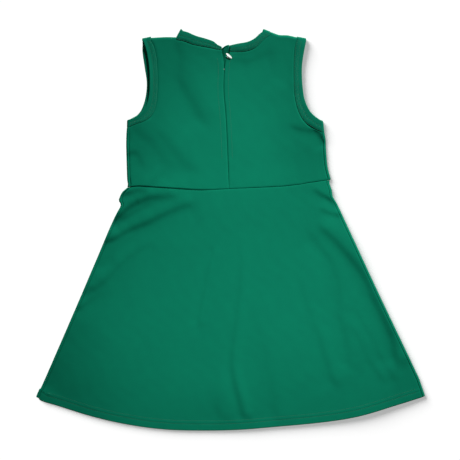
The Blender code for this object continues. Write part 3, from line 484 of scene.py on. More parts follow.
bottom[0], bottom[-1] = left[0], right[0]
top = through(LEFT_WAIST + RIGHT_WAIST[1:], edged(WAIST_LENGTH, SKIRT_COLUMNS))
top[0], top[-1] = left[-1], right[-1]


def hem_share(distance):
    return 1 - soft_step(distance, HEM_DEPTH, HEM_DEPTH + 1.5)


def stitch_grooves(distance):
    return sum(STITCH_GROOVE * np.exp(-((distance - line) / 0.8) ** 2) for line in STITCH_LINES)


def skirt_top(places):
    """Height of the back skirt's upper face, which is thicker at its hem and grooved by the stitching."""
    from_hem = nearest(bottom, places)[0]
    from_seam = np.minimum(nearest(left, places)[0], nearest(right, places)[0])
    pucker = HEM_PUCKER * np.exp(-((from_hem - STITCH_LINES[1]) / 5) ** 2) * ripple(places, 8, 0.2)
    rise = HEM_RISE * hem_share(from_hem) + pucker - stitch_grooves(from_hem)
    waist_dip = WAIST_DIP_OF_SKIRT * np.exp(-(nearest(top, places)[0] / 1.2) ** 2)
    return upper(places) + rise - seam_dip(from_seam, places) - waist_dip


def parallel_rows(bottom, left, right, steps):
    """Rows beside the hem at the given distances, which follow the side seams at their ends."""
    along = np.linalg.norm(bottom - bottom[0], axis=1)[:, None]
    starts, ends = np.exp(-along / CORNER_REACH), np.exp(-(along[-1] - along) / CORNER_REACH)
    return np.stack([bottom + (beside(bottom, distance) - bottom) * (1 - starts - ends)
                     + (left[index] - left[0]) * starts + (right[index] - right[0]) * ends
                     for index, distance in enumerate(steps)])


hem_rows = len(HEM_STEPS)
rows = parallel_rows(bottom, left, right, HEM_STEPS)
places = np.concatenate([rows[:-1], spread(rows[-1], top, left[hem_rows - 1:], right[hem_rows - 1:])])
from_hem = nearest(bottom, places)[0]
from_sides = np.minimum(nearest(left, places)[0], nearest(right, places)[0])
from_seams = np.minimum(from_sides, nearest(top, places)[0])
fall = rounding(from_seams, CLOTH / 2) + rounding(from_hem, HEM_THICKNESS / 2)
thickness = CLOTH + (HEM_THICKNESS - CLOTH) * hem_share(from_hem)
outer, inner = face_pair(places, skirt_top(places), thickness, fall)
back_skirt = dress_piece(cloth_wall("skirt_back_panel", outer, inner), double_knit, "double_knit",
                         "back_skirt")

# Hem stitching of the back: twin needle in a thread a shade browner than the cloth, 10 and 15 mm
# above the edge. The thread is drawn a little thick so that it shows
STITCH = 2.6
STITCH_SPACE = 0.6
STITCH_START = 0.08
THREAD = 0.42
TWISTS_PER_METRE = 1500.0


def thread_material():
    material, tree, shader = new_material("polyester_thread")
    place = add_node(tree, "TexCoord").outputs["Object"]
    twist = add_node(tree, "TexNoise", {"Scale": TWISTS_PER_METRE, "Detail": 1.0}, {"Vector": place})
    colour = add_node(tree, "ValToRGB", {}, {"Fac": twist.outputs["Fac"]})
    colour.color_ramp.elements[0].color = linear("0F5E45")
    colour.color_ramp.elements[1].color = linear("1C7355")
    tree.links.new(colour.outputs["Color"], shader.inputs["Base Color"])
    shader.inputs["Roughness"].default_value = 0.6
    shader.inputs["Sheen Weight"].default_value = 0.2
    return material


thread = thread_material()


def length_of(line):
    return np.linalg.norm(np.diff(line, axis=0), axis=1).sum()


def sew(bm, line, height_of, stitch=STITCH, width=THREAD):
    """Adds a row of stitches along a flat line, each bedded on the cloth's own height."""
    count = max(1, int(length_of(line) / (stitch + STITCH_SPACE)))
    step = 1 / count
    first, last = STITCH_START, STITCH_START + stitch / (stitch + STITCH_SPACE)
    starts, ends = (through(line, step * (np.arange(count) + share)) for share in (first, last))
    for a, b in zip(with_height(starts, height_of(starts)), with_height(ends, height_of(ends))):
        add_stitch(bm, Vector(a), Vector(b), width)


def add_stitch(bm, a, b, width):
    along = b - a
    turn = along.to_track_quat("X", "Z").to_matrix().to_4x4()
    size = Matrix.Diagonal((along.length / 2 * MM, width / 2 * MM, width / 2 * MM, 1))
    place = Matrix.Translation((a + b) / 2 * MM) @ turn @ size
    bmesh.ops.create_icosphere(bm, subdivisions=1, radius=1.0, matrix=place)


bm = bmesh.new()
for distance in STITCH_LINES:
    line = beside(through(HEM, even(80)), distance)
    sew(bm, line[1:-1], lambda points: skirt_top(points) + THREAD * 0.3)
back_hem_stitching = dress_piece(finished("hem_stitching_back", bm), thread, "double_knit")

# Front of the skirt: lies face down on the table and wraps round both side edges to the side
# seams, which the photo shows rolled a little onto the back. Its hem is stitched like the back's
FRONT_HEM_LIFT = 1.5
ROLL_STEPS = 12
roll_curve = through([(s.depth, s.height * 6) for s in ROLL], even(ROLL_STEPS)) / (1, 6)
roll_slopes = np.radians(np.interp(even(ROLL_STEPS), even(len(ROLL) - 1), [s.slope for s in ROLL]))
FLAT_DEPTH = ROLL[-1].depth


def rolled(edge, inward, thickness, fall=0.0, seam=True):
    """Outer and inner points of cloth that wraps round an edge, by place along it and by section."""
    inward = inward / np.linalg.norm(inward, axis=-1, keepdims=True)
    top = upper(edge + inward * SEAM_DEPTH)
    outer, inner = [], []
    for (depth, share), slope in zip(roll_curve, roll_slopes):
        inside = np.concatenate([inward * math.cos(slope),
                                 np.full(inward.shape[:-1] + (1,), -math.sin(slope))], axis=-1)
        dip, soft = np.zeros(len(edge)), np.broadcast_to(fall, len(edge))
        if seam and slope > 0:
            from_seam = SEAM_DEPTH - depth
            dip = seam_dip(from_seam, edge)
            soft = np.maximum(soft, rounding(from_seam, thickness / 2))
        point = with_height(edge + inward * depth, share * top - dip)
        outer.append(point + inside * soft[:, None])
        inner.append(point + inside * (thickness - soft)[:, None])
    return np.stack(outer, axis=1), np.stack(inner, axis=1)


left = skirt_left + skirt_inward(1, skirt_shares) * FLAT_DEPTH
right = skirt_right + skirt_inward(-1, skirt_shares) * FLAT_DEPTH
FRONT_COLUMNS = 90
lift = FRONT_HEM_LIFT * np.sin(math.pi * even(FRONT_COLUMNS)) ** 0.3
front_hem = through(HEM, even(FRONT_COLUMNS)) + np.stack([0 * lift, lift], axis=1)
top = through(LEFT_WAIST + RIGHT_WAIST[1:], even(FRONT_COLUMNS))
front_hem[0], front_hem[-1], top[0], top[-1] = left[0], right[0], left[-1], right[-1]
places = spread(front_hem, top, left, right)
from_hem = nearest(front_hem, places)[0]
side_fall = rounding(from_ends(skirt_shares, SKIRT_SIDE_LENGTH), CLOTH / 2)
column = np.arange(FRONT_COLUMNS + 1)
inset = np.clip(np.minimum(column, column[::-1]) / 3, 0, 1)
thickness = CLOTH + (HEM_THICKNESS - CLOTH) * hem_share(from_hem) * inset
fall = rounding(nearest(top, places)[0], CLOTH / 2) + rounding(from_hem, CLOTH / 2)
groove = stitch_grooves(from_hem) * inset
left_outer, left_inner = rolled(skirt_left, skirt_inward(1, skirt_shares), CLOTH, side_fall)
right_outer, right_inner = rolled(skirt_right, skirt_inward(-1, skirt_shares), CLOTH, side_fall)
under, above = with_height(places, fall + groove), with_height(places, thickness - fall)
outer = np.concatenate([left_outer[:, :-1], under, right_outer[:, -2::-1]], axis=1)
inner = np.concatenate([left_inner[:, :-1], above, right_inner[:, -2::-1]], axis=1)
front_skirt = dress_piece(cloth_wall("skirt_front_panel", outer, inner), double_knit, "double_knit",
                          "front_skirt")
bm = bmesh.new()
for distance in STITCH_LINES:
    line = beside(front_hem, distance)
    sew(bm, line[3:-3], lambda points: np.full(len(points), THREAD / 2 + 0.02))
front_hem_stitching = dress_piece(finished("hem_stitching_front", bm), thread, "double_knit")

# Back of the bodice: two halves in the same knit, from the side seams to the centre back, where
# they are sewn up to a slit that opens to the neck. Each runs over its shoulder to a seam in front
SHOULDER_SEAM_DEPTH = 8.0
# An end without narrow cells, where a line runs on into another
PLAIN = np.zeros(1)
WAIST_SHARE_UNDER_SHOULDER = 4 / 14
SHOULDER_TAIL = np.array([4.4, 6.0, 6.9, 7.4, 7.7, 7.9, 8.0])
LEFT_SHOULDER = ((-119.2, 288.3), (-98, 289.5), (-81.5, 289.2))
RIGHT_SHOULDER = ((60.3, 297), (73, 292.6), (86, 291.9), (99.5, 288.8))
BODICE_SIDE_LENGTH = 92.0
ARM_SEAM_LENGTH = 150.0
SHOULDER_LENGTH = 38.0
NECK_LENGTH = 72.0
# Shares of the outer edge and the shares of the slit that lie across from them
SLIT_ROWS = ((0, 0.64, 1), (0, 0.8, 1))
side_rows = edged(BODICE_SIDE_LENGTH, 30, end=PLAIN)
arm_rows = edged(ARM_SEAM_LENGTH, 50, start=PLAIN)
shoulder_columns = edged(SHOULDER_LENGTH, 12)


def bodice_top(places, lines):
    """Height of the back bodice's upper face, which dips towards the seams and edges given."""
    from_seam = np.min([nearest(line, places)[0] for line in lines], axis=0)
    return upper(places) - seam_dip(from_seam, places), from_seam


def back_bodice(name, waist, slit, neck_seam, shoulder, arm_seam, side, sign):
    """Grid of half of the bodice's back; sign is 1 on the left, where the side seam is its first column."""
    side_line = through(side, side_rows) + (sign * SEAM_DEPTH, 0)
    outside = np.vstack([side_line[:-1], through(arm_seam, arm_rows)])
    along = np.concatenate([[0], np.cumsum(np.linalg.norm(np.diff(outside, axis=0), axis=1))])
    slit_line = through(slit, np.interp(along / along[-1], *SLIT_ROWS))
    neck_columns = edged(NECK_LENGTH, 24, end=PLAIN)
    neck = through(neck_seam, neck_columns)
    neck[0] = slit_line[-1]
    fold = through(shoulder, shoulder_columns)
    under = WAIST_SHARE_UNDER_SHOULDER
    if sign > 0:
        waist_shares = np.concatenate([under * shoulder_columns[:-1], 1 - (1 - under) * neck_columns[::-1]])
        bottom = through(waist, waist_shares)
        top = np.vstack([fold[:-1] - (0, SEAM_DEPTH), neck[::-1]])
        top[0], bottom[0], bottom[-1] = outside[-1], outside[0], slit_line[0]
        places = spread(bottom, top, outside, slit_line)
        first = 0
    else:
        waist_shares = np.concatenate([(1 - under) * neck_columns, 1 - under * (1 - shoulder_columns[1:])])
        bottom = through(waist, waist_shares)
        top = np.vstack([neck, fold[1:] - (0, SEAM_DEPTH)])
        top[-1], bottom[0], bottom[-1] = outside[-1], slit_line[0], outside[0]
        places = spread(bottom, top, slit_line, outside)
        first = len(neck) - 1
    lines = (outside, slit_line, neck, bottom)
    height, from_seam = bodice_top(places, lines)
    outer, inner = face_pair(places, height, CLOTH, rounding(from_seam, CLOTH / 2))
    side_fall = rounding(from_ends(shoulder_columns, SHOULDER_LENGTH), CLOTH / 2)
    over, under_over = rolled(fold, np.broadcast_to((0.0, -1.0), fold.shape), CLOTH, side_fall, seam=False)
    tail = fold[None] - SHOULDER_TAIL[:, None, None] * np.array((0, 1))
    tail_fall = np.maximum(side_fall[None], rounding(SHOULDER_TAIL[-1] - SHOULDER_TAIL, CLOTH / 2)[:, None])
    over = np.vstack([over.swapaxes(0, 1)[1:], with_height(tail, tail_fall)])
    under_over = np.vstack([under_over.swapaxes(0, 1)[1:], with_height(tail, CLOTH - tail_fall)])
    rows, columns = places.shape[0] - 1, places.shape[1] - 1
    grids = []
    for flat, roll in ((outer, over), (inner, under_over)):
        grid = np.zeros((rows + 1 + len(roll), columns + 1, 3))
        grid[:rows + 1] = flat
        grid[rows + 1:, first:first + len(fold)] = roll
        grids.append(grid)
    keep = np.zeros((grids[0].shape[0], columns + 1), bool)
    keep[:rows] = True
    keep[rows:, first:first + len(fold) - 1] = True
    return dress_piece(cloth_wall(name, *grids, keep=keep), double_knit, "double_knit"), lines


left_back, left_lines = back_bodice("bodice_back_left_half", LEFT_WAIST, LEFT_SLIT, LEFT_NECK_SEAM,
                                    LEFT_SHOULDER, LEFT_BACK_ARM_SEAM, LEFT_BODICE_SIDE, 1)
right_back, right_lines = back_bodice("bodice_back_right_half", RIGHT_WAIST, RIGHT_SLIT, RIGHT_NECK_SEAM,
                                      RIGHT_SHOULDER, RIGHT_BACK_ARM_SEAM, RIGHT_BODICE_SIDE, -1)
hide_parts("back_bodice_left")
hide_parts("back_bodice_right")

# Topstitching beside the slit, which holds its narrow facing down on the inside
FACING_LEFT = 8.5
FACING_RIGHT = -7.0
SLIT_STITCHED_FROM = 0.22
SLIT_STITCHED_TO = 0.95
bm = bmesh.new()
for slit, distance, lines in ((LEFT_SLIT, FACING_LEFT, left_lines),
                              (RIGHT_SLIT, FACING_RIGHT, right_lines)):
    stitched = SLIT_STITCHED_FROM + (SLIT_STITCHED_TO - SLIT_STITCHED_FROM) * even(40)
    line = beside(through(slit, stitched), distance)
    sew(bm, line, lambda points: bodice_top(points, lines)[0] + THREAD * 0.25)
slit_stitching = dress_piece(finished("slit_stitching", bm), thread, "double_knit")

# Front of the bodice: one panel, face down on the table, with a scooped neck. Like the skirt's
# front it wraps round both side edges up to the side seams
FRONT_NECK_SEAM = ((-81.4, 281.2), (-74, 268), (-62, 250), (-40, 234), (-9, 227), (20, 231), (40, 243),
                   (52, 260), (58, 276), (60.3, 288.7))
LEFT_FRONT_ARM_SEAM = ((-152.8, 154), (-143.5, 157.5), (-131.5, 165), (-121.5, 180), (-115.5, 201),
                       (-114.2, 222), (-117.3, 245), (-119.6, 267.5), (-119.6, 280.3))
RIGHT_FRONT_ARM_SEAM = ((138.4, 146), (127.4, 150), (113.6, 159), (103, 174.8), (97, 196.6), (95, 221.4),
                        (95, 253.5), (97.6, 270), (99.9, 280.8))
SCOOP_COLUMNS = 50
FRONT_SIDE_LENGTH = 90.0
both_ends = edged(FRONT_SIDE_LENGTH, 30)
left_side, right_side = (through(side, both_ends) for side in (LEFT_BODICE_SIDE, RIGHT_BODICE_SIDE))
left_arm, right_arm = through(LEFT_FRONT_ARM_SEAM, arm_rows), through(RIGHT_FRONT_ARM_SEAM, arm_rows)
left = np.vstack([left_side + (FLAT_DEPTH, 0), left_arm[1:]])
right = np.vstack([right_side - (FLAT_DEPTH, 0), right_arm[1:]])
seam_drop = (0, SHOULDER_SEAM_DEPTH)
left_fold = through(LEFT_SHOULDER, even(14)) - seam_drop
right_fold = through(RIGHT_SHOULDER, even(14)) - seam_drop
scoop = through(FRONT_NECK_SEAM, even(SCOOP_COLUMNS))
top = np.vstack([left_fold, scoop[1:-1], right_fold])
left[-1], right[-1] = top[0], top[-1]
waist = (tuple(left[0]),) + LEFT_WAIST[1:] + RIGHT_WAIST[1:-1] + (tuple(right[0]),)
bottom = through(waist, even(len(top) - 1))
bottom[0], bottom[-1] = left[0], right[0]
places = spread(bottom, top, left, right)
from_edge = np.min([nearest(line, places)[0] for line in (bottom, top, left_arm, right_arm)], axis=0)
fall = rounding(from_edge, CLOTH / 2)
side_fall = rounding(from_ends(both_ends, FRONT_SIDE_LENGTH), CLOTH / 2)
sides = len(left_side)
grids = []
rolls = [rolled(side, np.broadcast_to((inward, 0.0), side.shape), CLOTH, side_fall)
         for side, inward in ((left_side, 1.0), (right_side, -1.0))]
for index, flat in enumerate((with_height(places, fall), with_height(places, CLOTH - fall))):
    grid = np.zeros((places.shape[0], places.shape[1] + 2 * ROLL_STEPS, 3))
    grid[:, ROLL_STEPS:-ROLL_STEPS] = flat
    grid[:sides, :ROLL_STEPS] = rolls[0][index][:, :-1]
    grid[:sides, -ROLL_STEPS:] = rolls[1][index][:, -2::-1]
    grids.append(grid)
keep = np.zeros(grids[0].shape[:2], bool)
keep[:sides - 1] = True
keep[:, ROLL_STEPS:-ROLL_STEPS - 1] = True
front_bodice = dress_piece(cloth_wall("bodice_front_panel", *grids, keep=keep), double_knit, "double_knit",
                           "front_bodice")

# Armhole bands: each a strip of jersey folded lengthwise, sewn on as a ring and topstitched along
# its seam and down its middle
BandFold = namedtuple("BandFold", "seam seam_inward edge edge_inward")
LEFT_BACK_ARM_EDGE = ((-150.9, 165.9), (-146.2, 168), (-136.5, 172.8), (-128.7, 181.5), (-122.9, 196.6),
                      (-121, 216.5), (-121.6, 241), (-125.2, 265.6), (-130.2, 282.1))
LEFT_FRONT_ARM_EDGE = ((-152.8, 165.4), (-147.8, 168), (-139, 173.4), (-131.9, 184.5), (-127, 202.5),
                       (-125.7, 222), (-128.9, 244.5), (-132.1, 267), (-132, 278))
RIGHT_BACK_ARM_EDGE = ((134.7, 164.6), (128.2, 168.8), (118.5, 178.5), (111.2, 195), (108.2, 213),
                       (107, 232.5), (107.5, 249), (110.2, 267), (113.2, 282.1))
RIGHT_FRONT_ARM_EDGE = ((136.7, 163.9), (128, 168.6), (118.3, 178.5), (111, 195), (108, 213),
                        (106.8, 232.5), (107.3, 249), (110, 267), (111.8, 278.6))
LEFT_ARM_SHOULDER = BandFold((-119.35, 290.2), (0, -1), (-132.2, 287.4), (0, -1))
LEFT_ARM_UNDER = BandFold((-155.4, 154.15), (1, 0), (-155.2, 164.5), (0.95, 0.31))
RIGHT_ARM_SHOULDER = BandFold((99.65, 290), (0, -1), (113.4, 287.4), (0, -1))
RIGHT_ARM_UNDER = BandFold((141, 146.15), (-1, 0), (139, 163.2), (-0.95, 0.31))
BAND_THICKNESS = 2.2
BAND_WIDTH = 11.5
BAND_STITCH = 0.52
BAND_SEAM_STITCH = 0.10
BAND_STITCH_LENGTH = 2.2
BAND_SEAM_DIP = 0.5
BAND_SEAM_DIP_WIDTH = 0.8
BAND_STITCH_DIP = 0.14
BAND_STITCH_DIP_WIDTH = 0.7
BAND_PUCKER = 0.08
SLANT_SPACE = 3.0
SLANT_THREAD = 0.22
BAND_STATIONS = 56
BAND_ACROSS = np.array([0, 0.1, 0.3, 0.6, 1.1, 1.8, 2.8, 4.0, 5.0, 5.5, 6.0, 6.5, 7.2, 8.2, 9.2, 9.9, 10.5,
                        10.9, 11.2, 11.4, 11.5]) / BAND_WIDTH

# Jersey of the bands: as dense as the dress's knit and a shade darker
band_knit = knit_material("band_jersey", "067559", "067257")


def band_relief(shares):
    """How far a band's face sinks at its seam and along its stitching, by share of its width."""
    width = shares * BAND_WIDTH
    dip = BAND_SEAM_DIP * np.exp(-(width / BAND_SEAM_DIP_WIDTH) ** 2)
    for line in (BAND_STITCH, BAND_SEAM_STITCH):
        away = (width - line * BAND_WIDTH) / BAND_STITCH_DIP_WIDTH
        dip = dip + BAND_STITCH_DIP * np.exp(-away ** 2)
    return dip


def band_fall(shares):
    free = rounding((1 - shares) * BAND_WIDTH, BAND_THICKNESS / 2)
    return np.maximum(free, rounding(shares * BAND_WIDTH, 0.4))


def band_places(seam, edge, shares=BAND_ACROSS):
    return seam[:, None] * (1 - shares[:, None]) + edge[:, None] * shares[:, None]


def band_on_top(seam, edge, ends=None, relief=1.0):
    """Outer and inner points of a band that lies on top, by place along it and across it."""
    places = band_places(seam, edge)
    fall = band_fall(BAND_ACROSS)[None]
    if ends is not None:
        fall = np.maximum(fall, ends[:, None])
    pucker = BAND_PUCKER * ripple(places, 7, 0.9)
    height = upper(places) - relief * band_relief(BAND_ACROSS)[None] + pucker
    return with_height(places, height - fall), with_height(places, upper(places) - BAND_THICKNESS + fall)


def band_below(seam, edge, ends=None):
    """The same for a band that lies face down on the table."""
    places = band_places(seam, edge)
    fall = np.broadcast_to(band_fall(BAND_ACROSS)[None], places.shape[:-1])
    if ends is not None:
        fall = np.maximum(fall, ends[:, None])
    groove = 0.5 * band_relief(BAND_ACROSS)[None]
    return with_height(places, fall + groove), with_height(places, BAND_THICKNESS - fall)


def band_over(fold):
    """The same where a band rolls over an edge of the dress, from the top down to the table."""
    shares = BAND_ACROSS[:, None]
    edge = np.array(fold.seam) * (1 - shares) + np.array(fold.edge) * shares
    inward = np.array(fold.seam_inward, float) * (1 - shares) + np.array(fold.edge_inward, float) * shares
    outer, inner = rolled(edge, inward, BAND_THICKNESS, band_fall(BAND_ACROSS), seam=False)
    return outer.swapaxes(0, 1), inner.swapaxes(0, 1)


def armhole_band(name, back_seam, back_edge, front_seam, front_edge, shoulder, underarm):
    shares = even(BAND_STATIONS)
    back = band_on_top(through(back_seam, shares), through(back_edge, shares))
    front = band_below(through(front_seam, shares), through(front_edge, shares))
    over, round_side = band_over(shoulder), band_over(underarm)
    grids = [np.concatenate([back[i], over[i][1:], front[i][::-1], round_side[i][-2:0:-1], back[i][:1]])
             for i in (0, 1)]
    return dress_piece(cloth_wall(name, *grids, ring=True), band_knit, "band_knit")


left_band = armhole_band("armhole_binding_left", LEFT_BACK_ARM_SEAM, LEFT_BACK_ARM_EDGE,
                         LEFT_FRONT_ARM_SEAM, LEFT_FRONT_ARM_EDGE, LEFT_ARM_SHOULDER, LEFT_ARM_UNDER)
right_band = armhole_band("armhole_binding_right", RIGHT_BACK_ARM_SEAM, RIGHT_BACK_ARM_EDGE,
                          RIGHT_FRONT_ARM_SEAM, RIGHT_FRONT_ARM_EDGE, RIGHT_ARM_SHOULDER, RIGHT_ARM_UNDER)
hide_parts("armhole_band_left")
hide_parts("armhole_band_right")


def sew_band(bm, seam, edge):
    """Two rows of stitches along a band and the fine slanting thread between them."""
    shares = even(60)
    seam, edge = through(seam, shares), through(edge, shares)

    def on_band(share):
        sunk = band_relief(np.array(share))
        return seam * (1 - share) + edge * share, lambda points: upper(points) - sunk + THREAD * 0.25

    for share in (BAND_SEAM_STITCH, BAND_STITCH):
        sew(bm, *on_band(share), stitch=BAND_STITCH_LENGTH)
    count = int(length_of(seam) / SLANT_SPACE)
    a, b = (through(on_band(share)[0], even(count))
            for share in (BAND_SEAM_STITCH + 0.03, BAND_STITCH - 0.03))
    middle = band_relief(np.array(0.3))
    ends = [with_height(points, upper(points) - middle) for points in (a, b)]
    for index in range(count):
        start, end = ends[index % 2][index], ends[(index + 1) % 2][index + 1]
        add_stitch(bm, Vector(start), Vector(end), SLANT_THREAD)


for name, seam, edge in (("armhole_stitching_left", LEFT_BACK_ARM_SEAM, LEFT_BACK_ARM_EDGE),
                         ("armhole_stitching_right", RIGHT_BACK_ARM_SEAM, RIGHT_BACK_ARM_EDGE)):
    bm = bmesh.new()
    sew_band(bm, seam, edge)
    dress_piece(finished(name, bm), thread, "band_knit")

# Neck band: the same folded strip in three lengths, two from the slit over the shoulders and one
# round the front, joined under the shoulder seams
LEFT_NECK_EDGE = ((-12.8, 274.2), (-20, 278.1), (-25.5, 282.6), (-38, 287), (-52, 291), (-63.8, 296.2),
                  (-70.5, 298))
RIGHT_NECK_EDGE = ((-1.1, 276.2), (11, 279), (23, 281.1), (32, 284.4), (38.6, 288.9), (43.2, 293.5),
                   (47.8, 296.8))
FRONT_NECK_EDGE = ((-68.4, 295.2), (-63, 275.4), (-53, 259), (-35, 246), (-9, 240), (16, 243.4),
                   (31.5, 252.8), (40.5, 266), (45.5, 279.5), (46.5, 293.6))
LEFT_NECK_FOLD = BandFold((-81.3, 289.6), (0, -1), (-74.2, 302.2), (0.6, -0.8))
RIGHT_NECK_FOLD = BandFold((60.1, 297.5), (0, -1), (49.4, 301.7), (-0.37, -0.93))


def fold_end(fold, depth):
    """Seam and free edge of a band at a depth below its shoulder fold, on the front."""
    return (np.array(fold.seam) + np.array(fold.seam_inward, float) * depth,
            np.array(fold.edge) + np.array(fold.edge_inward, float) * depth)


def back_neck_band(name, seam, edge, fold, relief_at_shoulder=1.0):
    shares = edged(NECK_LENGTH, 28, end=PLAIN)
    relief = np.interp(shares, (0.45, 0.8), (1, relief_at_shoulder))[:, None]
    top = band_on_top(through(seam, shares), through(edge, shares), rounding(shares * NECK_LENGTH, 0.9),
                      relief)
    over = band_over(fold)
    tail = [fold_end(fold, depth) for depth in SHOULDER_TAIL]
    tail_ends = rounding(SHOULDER_TAIL[-1] - SHOULDER_TAIL, 0.5)
    below = band_below(np.array([a for a, b in tail]), np.array([b for a, b in tail]), ends=tail_ends)
    grids = [np.concatenate([top[i], over[i][1:], below[i]]) for i in (0, 1)]
    return dress_piece(cloth_wall(name, *grids), band_knit, "band_knit")


left_neck_band = back_neck_band("neck_binding_back_left", LEFT_NECK_SEAM, LEFT_NECK_EDGE, LEFT_NECK_FOLD)
right_neck_band = back_neck_band("neck_binding_back_right", RIGHT_NECK_SEAM, RIGHT_NECK_EDGE,
                                 RIGHT_NECK_FOLD, 0.15)
FRONT_NECK_LENGTH = 200.0
shares = edged(FRONT_NECK_LENGTH, 60)
seam, edge = through(FRONT_NECK_SEAM, shares), through(FRONT_NECK_EDGE, shares)
for index, fold in ((0, LEFT_NECK_FOLD), (-1, RIGHT_NECK_FOLD)):
    seam_end, edge_end = fold_end(fold, SHOULDER_SEAM_DEPTH)
    weight = np.exp(-np.abs(shares - shares[index]) * 40)[:, None]
    seam = seam + (seam_end - seam[index]) * weight
    edge = edge + (edge_end - edge[index]) * weight
grids = band_below(seam, edge, ends=rounding(from_ends(shares, FRONT_NECK_LENGTH), 0.5))
dress_piece(cloth_wall("neck_binding_front", *grids), band_knit, "band_knit", "neck_band_front")
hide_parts("neck_band_back_left")
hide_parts("neck_band_back_right")
bm = bmesh.new()
sew_band(bm, LEFT_NECK_SEAM, LEFT_NECK_EDGE)
sew_band(bm, RIGHT_NECK_SEAM, RIGHT_NECK_EDGE)
dress_piece(finished("neck_stitching", bm), thread, "band_knit")

# Slit underlap: the end of the slit's facing in the same knit, wrong side up, which lies under the
# button and closes the gap
UNDERLAP_DROP = 2.6
UNDERLAP_GROOVE = 2.2
UNDERLAP_GROOVE_WIDTH = 2.0
UNDERLAP_LENGTH = 31.0
UNDERLAP_WIDTH = 15.0
UNDERLAP_LEFT = ((-15.6, 242.6), (-15.8, 250), (-15.8, 258), (-15.8, 266), (-15.4, 272.4))
UNDERLAP_TOP = ((-15.4, 272.4), (-11.6, 273.4), (-7.2, 275.6), (-3.2, 277.6), (-0.4, 275.6), (3, 275.2))
UNDERLAP_RIGHT = ((2.4, 242.6), (2.6, 250), (2.8, 258), (3, 266), (3, 275.2))


def underlap_top(places):
    from_edge = places[..., 0] - np.interp(places[..., 1], *np.array(LEFT_SLIT)[:, ::-1].T)
    groove = UNDERLAP_GROOVE * np.exp(-(from_edge / UNDERLAP_GROOVE_WIDTH) ** 2)
    return np.maximum(upper(places) - UNDERLAP_DROP - groove, CLOTH)


left, right = (through(line, edged(UNDERLAP_LENGTH, 16)) for line in (UNDERLAP_LEFT, UNDERLAP_RIGHT))
across = edged(UNDERLAP_WIDTH, 8)
top = through(UNDERLAP_TOP, across)
bottom = left[0] * (1 - across[:, None]) + right[0] * across[:, None]
places = spread(bottom, top, left, right)
from_edge = np.min([nearest(line, places)[0] for line in (left, right, top, bottom)], axis=0)
fall = rounding(from_edge, CLOTH / 2)
outer, inner = face_pair(places, underlap_top(places), CLOTH, fall)
dress_piece(cloth_wall("slit_facing_end", outer, inner), double_knit, "double_knit", "slit_underlap")

# Button loop: a rouleau of the band jersey, sewn into the left edge of the slit and passed round
# the button's shank
LOOP_DIAMETER = 2.2
LOOP_ROUTE = ((-12.2, 271.4), (-8.6, 273.9), (-4.6, 275.6), (-3.4, 273.4), (-4.4, 268.6), (-6.4, 264.2),
              (-7.4, 261), (-6.9, 258.8), (-5.2, 257.2), (-2.6, 255.9), (-0.2, 255.5))
LOOP_CLIMB = ((0, 0), (0.72, 0), (0.85, 2.2), (1, 2.8))
curve = bpy.data.curves.new("rouleau_loop", "CURVE")
curve.dimensions = "3D"
curve.bevel_depth = LOOP_DIAMETER / 2 * MM
curve.bevel_resolution = 5
curve.use_fill_caps = True
route = through(LOOP_ROUTE, even(60))
spline = curve.splines.new("POLY")
spline.points.add(len(route) - 1)
climb = np.interp(even(60), *np.array(LOOP_CLIMB).T)
for point, (x, y), z in zip(spline.points, route, underlap_top(route) + climb + LOOP_DIAMETER / 2):
    point.co = (x * MM, y * MM, z * MM, 1.0)
loop = bpy.data.objects.new("rouleau_loop", curve)
bpy.context.scene.collection.objects.link(loop)
dress_piece(loop, band_knit, "band_knit", "button_loop")

# Button: a small pearly polyester dome with a shank, polished, leaning on its rim in the loop
BUTTON_DIAMETER = 11.4
BUTTON_THICKNESS = 2.6
SHANK_DIAMETER = 3.2
SHANK_LENGTH = 1.8
BUTTON_CENTRE = (-2.3, 259.3)
BUTTON_LEAN = math.radians(72)
BUTTON_TURN = math.radians(45)
BUTTON_FOOT = 0.3
# Clouds of the pearl are about 4 mm across
PEARL_CLOUDS_PER_METRE = 260.0


def pearl_material():
    material, tree, shader = new_material("pearly_polyester")
    place = add_node(tree, "TexCoord").outputs["Object"]
    cloud = add_node(tree, "TexNoise", {"Scale": PEARL_CLOUDS_PER_METRE, "Detail": 2.0,
                                        "Distortion": 1.5}, {"Vector": place})
    colour = add_node(tree, "ValToRGB", {}, {"Fac": cloud.outputs["Fac"]})
    colour.color_ramp.elements[0].position = 0.35
    colour.color_ramp.elements[0].color = linear("E3E8E2")
    colour.color_ramp.elements[1].position = 0.65
    colour.color_ramp.elements[1].color = linear("FAFBF8")
    tree.links.new(colour.outputs["Color"], shader.inputs["Base Color"])
    shader.inputs["Roughness"].default_value = 0.22
    shader.inputs["IOR"].default_value = 1.55
    shader.inputs["Coat Weight"].default_value = 0.4
    shader.inputs["Coat Roughness"].default_value = 0.08
    shader.inputs["Subsurface Weight"].default_value = 0.15
    shader.inputs["Subsurface Radius"].default_value = (0.002, 0.002, 0.002)
    return material


